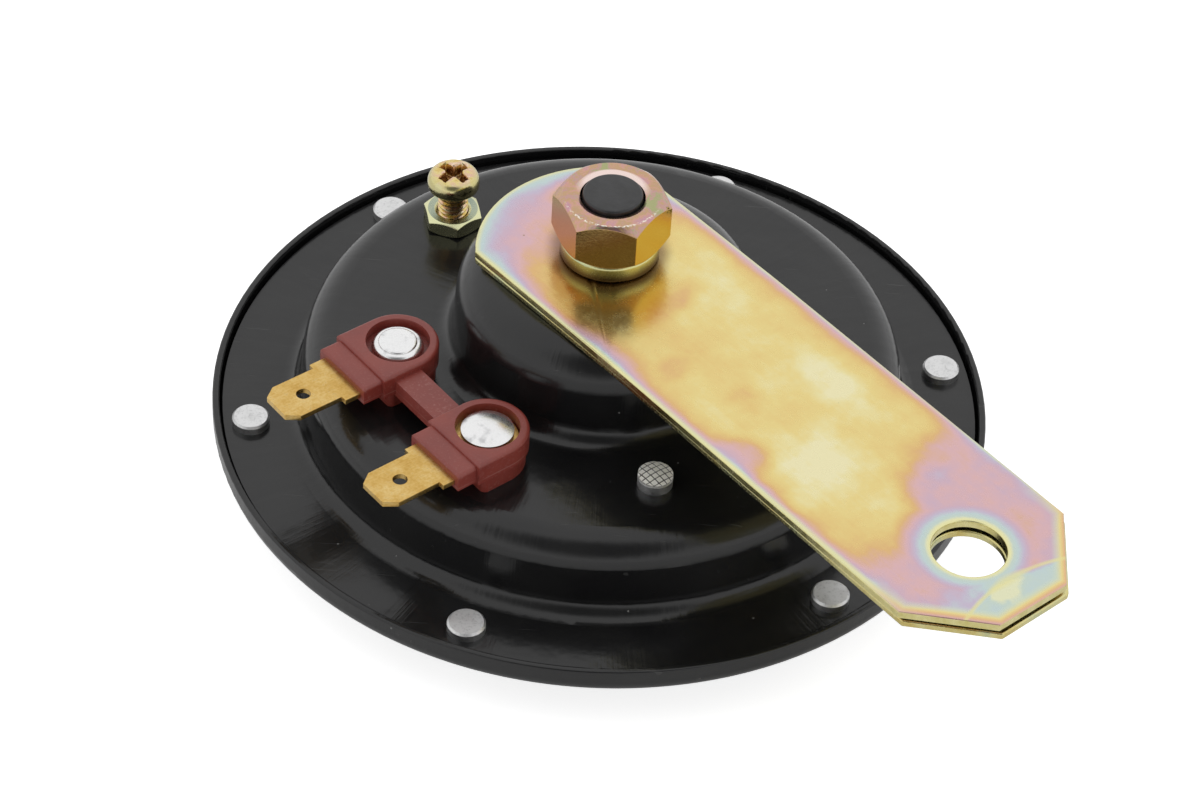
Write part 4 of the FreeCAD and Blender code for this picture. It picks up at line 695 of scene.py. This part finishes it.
def spun(profile, steps, closed=False):
    """A bmesh of a profile in mm, as (radius, height) points, turned round Z."""
    bm = bmesh.new()
    line = [bm.verts.new((r * MM, 0, z * MM)) for r, z in profile]
    for a, b in zip(line, line[1:] + line[:1] * closed):
        bm.edges.new((a, b))
    bmesh.ops.spin(bm, geom=bm.verts[:] + bm.edges[:], cent=(0, 0, 0), axis=(0, 0, 1), dvec=(0, 0, 0),
                   angle=2 * math.pi, steps=steps, use_merge=True, use_duplicate=False)
    bmesh.ops.remove_doubles(bm, verts=bm.verts, dist=1e-7)
    if not closed:
        bmesh.ops.holes_fill(bm, edges=bm.edges, sides=200)
    bmesh.ops.recalc_face_normals(bm, faces=bm.faces)
    return bm


def welded(node, flat=0.6):
    """A bmesh of a CAD node, its triangles welded and its areas flat within an angle joined."""
    bm = bmesh.new()
    bm.from_mesh(nodes[node].data)
    bmesh.ops.remove_doubles(bm, verts=bm.verts, dist=1e-6)
    bmesh.ops.dissolve_limit(bm, angle_limit=math.radians(flat), verts=bm.verts, edges=bm.edges)
    return bm


def softened(node, bm, material, width, segments=2, sharp=30):
    """A copy of a CAD node whose edges sharper than an angle are rounded. Width is in mm."""
    copy = piece(node + "_soft", bm, material, (node,), sharp)
    bevel = copy.modifiers.new("soft_edges", "BEVEL")
    bevel.width, bevel.segments, bevel.limit_method = width * MM, segments, "ANGLE"
    bevel.angle_limit = math.radians(sharp)
    bevel.harden_normals = True


# %% Copies with rounded edges
for node, material, width, segments in (
        ("terminal_block", phenolic, 0.28, 3), ("spade_terminal_left", brass, 0.08, 2),
        ("spade_terminal_right", brass, 0.08, 2), ("bracket_lower_leaf", brassy_zinc, 0.3, 3)):
    softened(node, welded(node), material, width, segments)
softened("bracket_upper_leaf", welded("bracket_upper_leaf", 0.05), yellow_zinc, 0.25, 3)

# %% [markdown]
# The nuts get their countersinks opened to a flatter cone than the CAD has, as the photograph
# shows a wide bright ring inside the big nut. The rim of the hole moves outwards and the bottom of
# the cone moves up, so the flat ring on top stays flat. The lock nut's top is also chamfered.

# %% Nuts with open countersinks
def opened(node, axis, bore, wider, shallower):
    """A welded nut whose countersink is wider and flatter. Sizes are in mm. Its rim lies on the top,
    its bottom at the bore, and a ring between them moves by half of both."""
    bm = welded(node)
    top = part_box(node)[1].z
    for v in bm.verts:
        out = Vector((v.co.x, v.co.y, 0)) - Vector((axis.x, axis.y, 0))
        if v.co.z > top - 1e-6 and out.length < (bore + 0.9) * MM:
            v.co += out.normalized() * wider * MM
        elif top - 1.0 * MM < v.co.z < top - 0.1 * MM and out.length < (bore + 0.1) * MM:
            v.co.z += shallower * MM
        elif top - 0.4 * MM < v.co.z < top - 0.1 * MM and out.length < (bore + 0.4) * MM:
            v.co += (out.normalized() * wider + Vector((0, 0, shallower))) / 2 * MM
    return bm


def turned_off(bm, axis, top, face_r, slope, cuts=48):
    """Chamfers a nut's top as a lathe does, by many flat cuts that lean round a cone."""
    for step in range(cuts):
        t = 2 * math.pi * step / cuts
        out = Vector((math.cos(t), math.sin(t), 0))
        lean = out * math.sin(slope) + Vector((0, 0, math.cos(slope)))
        cut = bmesh.ops.bisect_plane(bm, geom=bm.verts[:] + bm.edges[:] + bm.faces[:], dist=1e-8,
                                     plane_co=axis + out * face_r + Vector((0, 0, top)),
                                     plane_no=lean, clear_outer=True)
        edges = [g for g in cut["geom_cut"] if isinstance(g, bmesh.types.BMEdge)]
        bmesh.ops.holes_fill(bm, edges=edges, sides=0)
    bmesh.ops.recalc_face_normals(bm, faces=bm.faces)
    return bm


SCREW_AT = Vector((SCREW_X, SCREW_Y, 0.0)) * MM
LOCK_FACE_R, LOCK_SLOPE = 3.25 * MM, math.radians(32)
softened("mounting_nut", opened("mounting_nut", Vector(), 4.05, 0.22, 0.2), rosy_zinc, 0.14)
lock_bm = opened("lock_nut", SCREW_AT, 2.05, 0.1, 0.08)
turned_off(lock_bm, SCREW_AT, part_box("lock_nut")[1].z, LOCK_FACE_R, LOCK_SLOPE)
softened("lock_nut", lock_bm, clear_zinc, 0.1, 2, 24)

# %% [markdown]
# The end of the stud is nearly flat, with a small round, and stands in the countersink with a dark
# gap round it, where its thread begins. The CAD end is one big round, so the copy's last millimetre
# is drawn to a steeper profile. A cut just below keeps the rest of the stud as it is.

# %% End of the stud
STUD_R, ROUND_R, ROUND_FROM = 4.0, 1.0, 43.1
END_R, END_ROUND, THREAD_START = 3.45, 0.32, 42.8
bm = welded("pole_core")
bmesh.ops.bisect_plane(bm, geom=bm.verts[:] + bm.edges[:] + bm.faces[:], dist=1e-8,
                       plane_co=(0, 0, THREAD_START * MM), plane_no=(0, 0, 1))
for v in bm.verts:
    if v.co.z > (ROUND_FROM - 0.01) * MM:
        out = Vector((v.co.x, v.co.y, 0))
        turn_out = min(max((out.length / MM - STUD_R + ROUND_R) / ROUND_R, 0.0), 1.0)
        turn_up = min(max((v.co.z / MM - ROUND_FROM) / ROUND_R, 0.0), 1.0)
        if out.length > 0.5 * MM:
            out = out.normalized() * (END_R + END_ROUND * turn_out) * MM
        v.co = out + Vector((0, 0, (ROUND_FROM + ROUND_R - END_ROUND * (1 - turn_up)) * MM))
piece("pole_core_end", bm, stud_black, ("pole_core",), 35)
print("stud's end is", 2 * END_R, "mm across")

# %% [markdown]
# ## The left terminal's rivet
# This rivet was headed twice: a wide, softly rounded shoulder, and a flat disc struck in its middle
# with a fine dark line round it. The CAD head is plainer, so a spun cap covers it.

# %% Cap on the left rivet
LEFT_RIVET_AT = Vector((-25.712, -9.174, 0.0)) * MM
left_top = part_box("terminal_rivet_left")[1].z / MM
cap_profile = [(0.0, 0.14), (0.5, 0.135), (1.0, 0.11), (1.5, 0.06), (2.0, -0.02), (2.3, -0.1),
               (2.42, -0.18), (2.46, -0.3), (2.52, -0.31), (2.6, -0.26), (2.8, -0.32), (3.0, -0.46),
               (3.16, -0.67), (3.26, -0.92), (3.3, -1.2), (3.3, -1.65)]
bm = spun([(r, left_top + z) for r, z in cap_profile], 72)
bmesh.ops.translate(bm, verts=bm.verts, vec=LEFT_RIVET_AT)
piece("terminal_rivet_left_cap", bm, bright_aluminium, sharp=60)
print("cap on a head that ends at", left_top, "mm")

# %% [markdown]
# Some of the moulding crept over the brass round this rivet while it was pressed. A thin red-brown
# ring lies on the tab there, and its outer edge runs into the wall of the eyelet.

# %% Flash in the left eyelet
FLASH_IN, FLASH_OUT = 3.15, 4.3
tab_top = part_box("spade_terminal_left")[1].z / MM
bm = spun([(FLASH_IN, tab_top - 0.02), (FLASH_IN, tab_top + 0.06), (FLASH_OUT, tab_top + 0.12),
           (FLASH_OUT, tab_top - 0.02)], 72, closed=True)
bmesh.ops.translate(bm, verts=bm.verts, vec=LEFT_RIVET_AT)
piece("terminal_block_flash", bm, phenolic, sharp=40)
print("flash lies on the tab at", tab_top, "mm")

# %% [markdown]
# ## The adjusting screw
# The screw that tunes the horn has an M4 thread and an oval head with a cross recess. The head is a
# profile spun round the axis in fine steps. The recess is then pressed into it as the real punch
# does it: every point inside the cross moves down, less near the cross's outline, so that its walls
# lean in towards the bottom.

# %% Head of the screw
HEAD_TOP, HEAD_R_MM, HEAD_HIGH = screw_high.z / MM, 3.4, 2.6
CROWN, SHOULDER, CURVE_STEPS = 0.3, 0.9, 12
profile = [(r / 10, HEAD_TOP - CROWN * (r / 10 / (HEAD_R_MM - SHOULDER)) ** 2) for r in range(0, 24)]
last_r, last_z = profile[-1]
for step in range(1, CURVE_STEPS + 1):
    t = math.radians(90 * step / CURVE_STEPS)
    profile.append((last_r + (HEAD_R_MM - last_r) * math.sin(t),
                    last_z - (HEAD_HIGH - 0.9 - (HEAD_TOP - last_z)) * (1 - math.cos(t))))
floor_z = HEAD_TOP - HEAD_HIGH
profile += [(HEAD_R_MM, floor_z + 0.35), (HEAD_R_MM - 0.08, floor_z + 0.12),
            (HEAD_R_MM - 0.3, floor_z), (1.5, floor_z)]
bm = spun(profile, 120)
print("head spun,", len(bm.faces), "faces")

# %% The cross recess
CROSS_TURN = Matrix.Rotation(math.radians(-49.0), 2)
CROSS_LONG, CROSS_WIDE, CROSS_DEEP = 2.3, 0.72, 1.7
LEAN_LONG, LEAN_WIDE = 0.55, 0.28
for v in bm.verts:
    if v.co.z < (floor_z + 1.0) * MM:
        continue
    spot = CROSS_TURN @ Vector((v.co.x, v.co.y)) / MM
    deepest = 0.0
    for length, width in ((abs(spot.x), abs(spot.y)), (abs(spot.y), abs(spot.x))):
        inward = min((CROSS_LONG - length) / LEAN_LONG, (CROSS_WIDE - width) / LEAN_WIDE)
        deepest = max(deepest, min(max(inward, 0.0), 1.0))
    middle = min(max((1.15 - spot.length) / 0.4, 0.0), 1.0)
    v.co.z -= max(deepest, middle * 0.98) * CROSS_DEEP * MM
bmesh.ops.translate(bm, verts=bm.verts, vec=SCREW_AT)
piece("screw_head", bm, screw_zinc, ("adjusting_screw",))
print("recess", 2 * CROSS_LONG, "mm across")

# %% [markdown]
# The thread is one tooth drawn along a helix: a small trapezium is spun round the axis and rises by
# the pitch in every turn. It sits on a plain core, which its root touches all the way.

# %% Thread of the screw
PITCH, CREST_R, ROOT_R, STEPS = 0.7, 1.97, 1.56, 40
shank_low = screw_low.z / MM
thread_turns = math.floor((floor_z - shank_low - 0.5) / PITCH)
bm = bmesh.new()
tooth = [bm.verts.new((r * MM, 0, z * MM)) for r, z in
         ((ROOT_R - 0.08, -0.34), (CREST_R, -0.06), (CREST_R, 0.06), (ROOT_R - 0.08, 0.34))]
bm.faces.new(tooth)
bmesh.ops.spin(bm, geom=bm.verts[:] + bm.edges[:] + bm.faces[:], cent=(0, 0, 0), axis=(0, 0, 1),
               dvec=(0, 0, PITCH * MM / STEPS), angle=2 * math.pi * thread_turns,
               steps=STEPS * thread_turns, use_merge=False, use_duplicate=False)
bmesh.ops.remove_doubles(bm, verts=bm.verts, dist=1e-7)
bmesh.ops.holes_fill(bm, edges=bm.edges, sides=4)
bmesh.ops.translate(bm, verts=bm.verts, vec=(0, 0, (shank_low + 0.5) * MM))
core_high = floor_z - shank_low + 0.3
bmesh.ops.create_cone(bm, cap_ends=True, segments=48, radius1=ROOT_R * MM, radius2=ROOT_R * MM,
                      depth=core_high * MM,
                      matrix=Matrix.Translation((0, 0, (shank_low + core_high / 2) * MM)))
bmesh.ops.recalc_face_normals(bm, faces=bm.faces)
bmesh.ops.translate(bm, verts=bm.verts, vec=SCREW_AT)
piece("screw_thread", bm, screw_zinc, sharp=50)
print("thread has", thread_turns, "turns")

# %% [markdown]
# ## The waffle on the breaker's rivet
# The tool that headed this rivet was cut with crossing grooves, which stand up on the head as small
# square pads, darker in the grooves between them. Cells of a grid past the head's rim are deleted, the
# rest are inset face by face and their middles lifted, and the outer corners are drawn in to a round rim.

# %% Waffle pads
RIVET_AT = Vector((7.433, -26.269, 21.5)) * MM
HEAD_FLAT_R, CELLS_TO_R = 2.19, 2.35
WAFFLE_HALF, CELLS, PAD_UP, BULGE, SKIRT = 2.4, 6, 0.16, 0.3, 0.3
WAFFLE_TURN = Matrix.Rotation(math.radians(42), 3, "Z")
bm = bmesh.new()
bmesh.ops.create_grid(bm, x_segments=CELLS, y_segments=CELLS, size=WAFFLE_HALF * MM)
outside = [f for f in bm.faces if f.calc_center_median().length > CELLS_TO_R * MM]
bmesh.ops.delete(bm, geom=outside, context="FACES")
pads = bm.faces[:]
bmesh.ops.inset_individual(bm, faces=pads, thickness=0.06 * MM, depth=0.0)
bmesh.ops.inset_individual(bm, faces=pads, thickness=0.07 * MM, depth=PAD_UP * MM)
rim_edges = [e for e in bm.edges if e.is_boundary]
skirt = bmesh.ops.extrude_edge_only(bm, edges=rim_edges)
skirt_verts = [g for g in skirt["geom"] if isinstance(g, bmesh.types.BMVert)]
bmesh.ops.translate(bm, verts=skirt_verts, vec=(0, 0, -SKIRT * MM))
for v in bm.verts:
    far = math.hypot(v.co.x, v.co.y)
    if far > HEAD_FLAT_R * MM:
        v.co.x, v.co.y = v.co.x * HEAD_FLAT_R * MM / far, v.co.y * HEAD_FLAT_R * MM / far
    v.co.z += BULGE * MM * (1 - (min(far / MM, HEAD_FLAT_R) / HEAD_FLAT_R) ** 2)
bmesh.ops.rotate(bm, verts=bm.verts, cent=(0, 0, 0), matrix=WAFFLE_TURN)
bmesh.ops.translate(bm, verts=bm.verts, vec=RIVET_AT)
print(len(pads), "pads")

# %% Dark grooves, bright pads
waffle_metal, tree, place, _ = finish_named("grooved_aluminium")
from_rivet = add(tree, "VectorMath", {0: place, 1: tuple(RIVET_AT / MM)}, operation="SUBTRACT")
head_far = from_axis(tree, from_rivet)
squared = add(tree, "Math", {0: head_far, 1: 2.0}, operation="POWER")
height = add(tree, "SeparateXYZ", {"Vector": from_rivet})
level = add(tree, "Math", {0: squared, 1: BULGE / HEAD_FLAT_R ** 2, 2: height.outputs["Z"]},
            operation="MULTIPLY_ADD")
worn = add(tree, "TexNoise", {"Vector": place, "Scale": 1 / 0.5, "Detail": 3.0})
level = add(tree, "Math", {0: worn, 1: 0.12, 2: level}, operation="MULTIPLY_ADD")
raised = add(tree, "MapRange", {"Value": level, "From Min": 0.40, "From Max": 0.48})
at_skirt = add(tree, "MapRange", {"Value": head_far, "From Min": 2.12, "From Max": 2.18, "To Max": 0.5})
raised = add(tree, "Math", {0: raised, 1: at_skirt}, operation="MAXIMUM")
tone = add(tree, "Mix", {"Factor": raised, "A": linear("3a3836"), "B": linear("f6f4ee")},
           data_type="RGBA")
finished(tree, tone.outputs["Result"], 0.6, [(worn, 0.3, 0.05)], {"Metallic": 0.35})
piece("breaker_rivet_waffle", bm, waffle_metal, sharp=0)
print("waffle on the breaker's rivet")
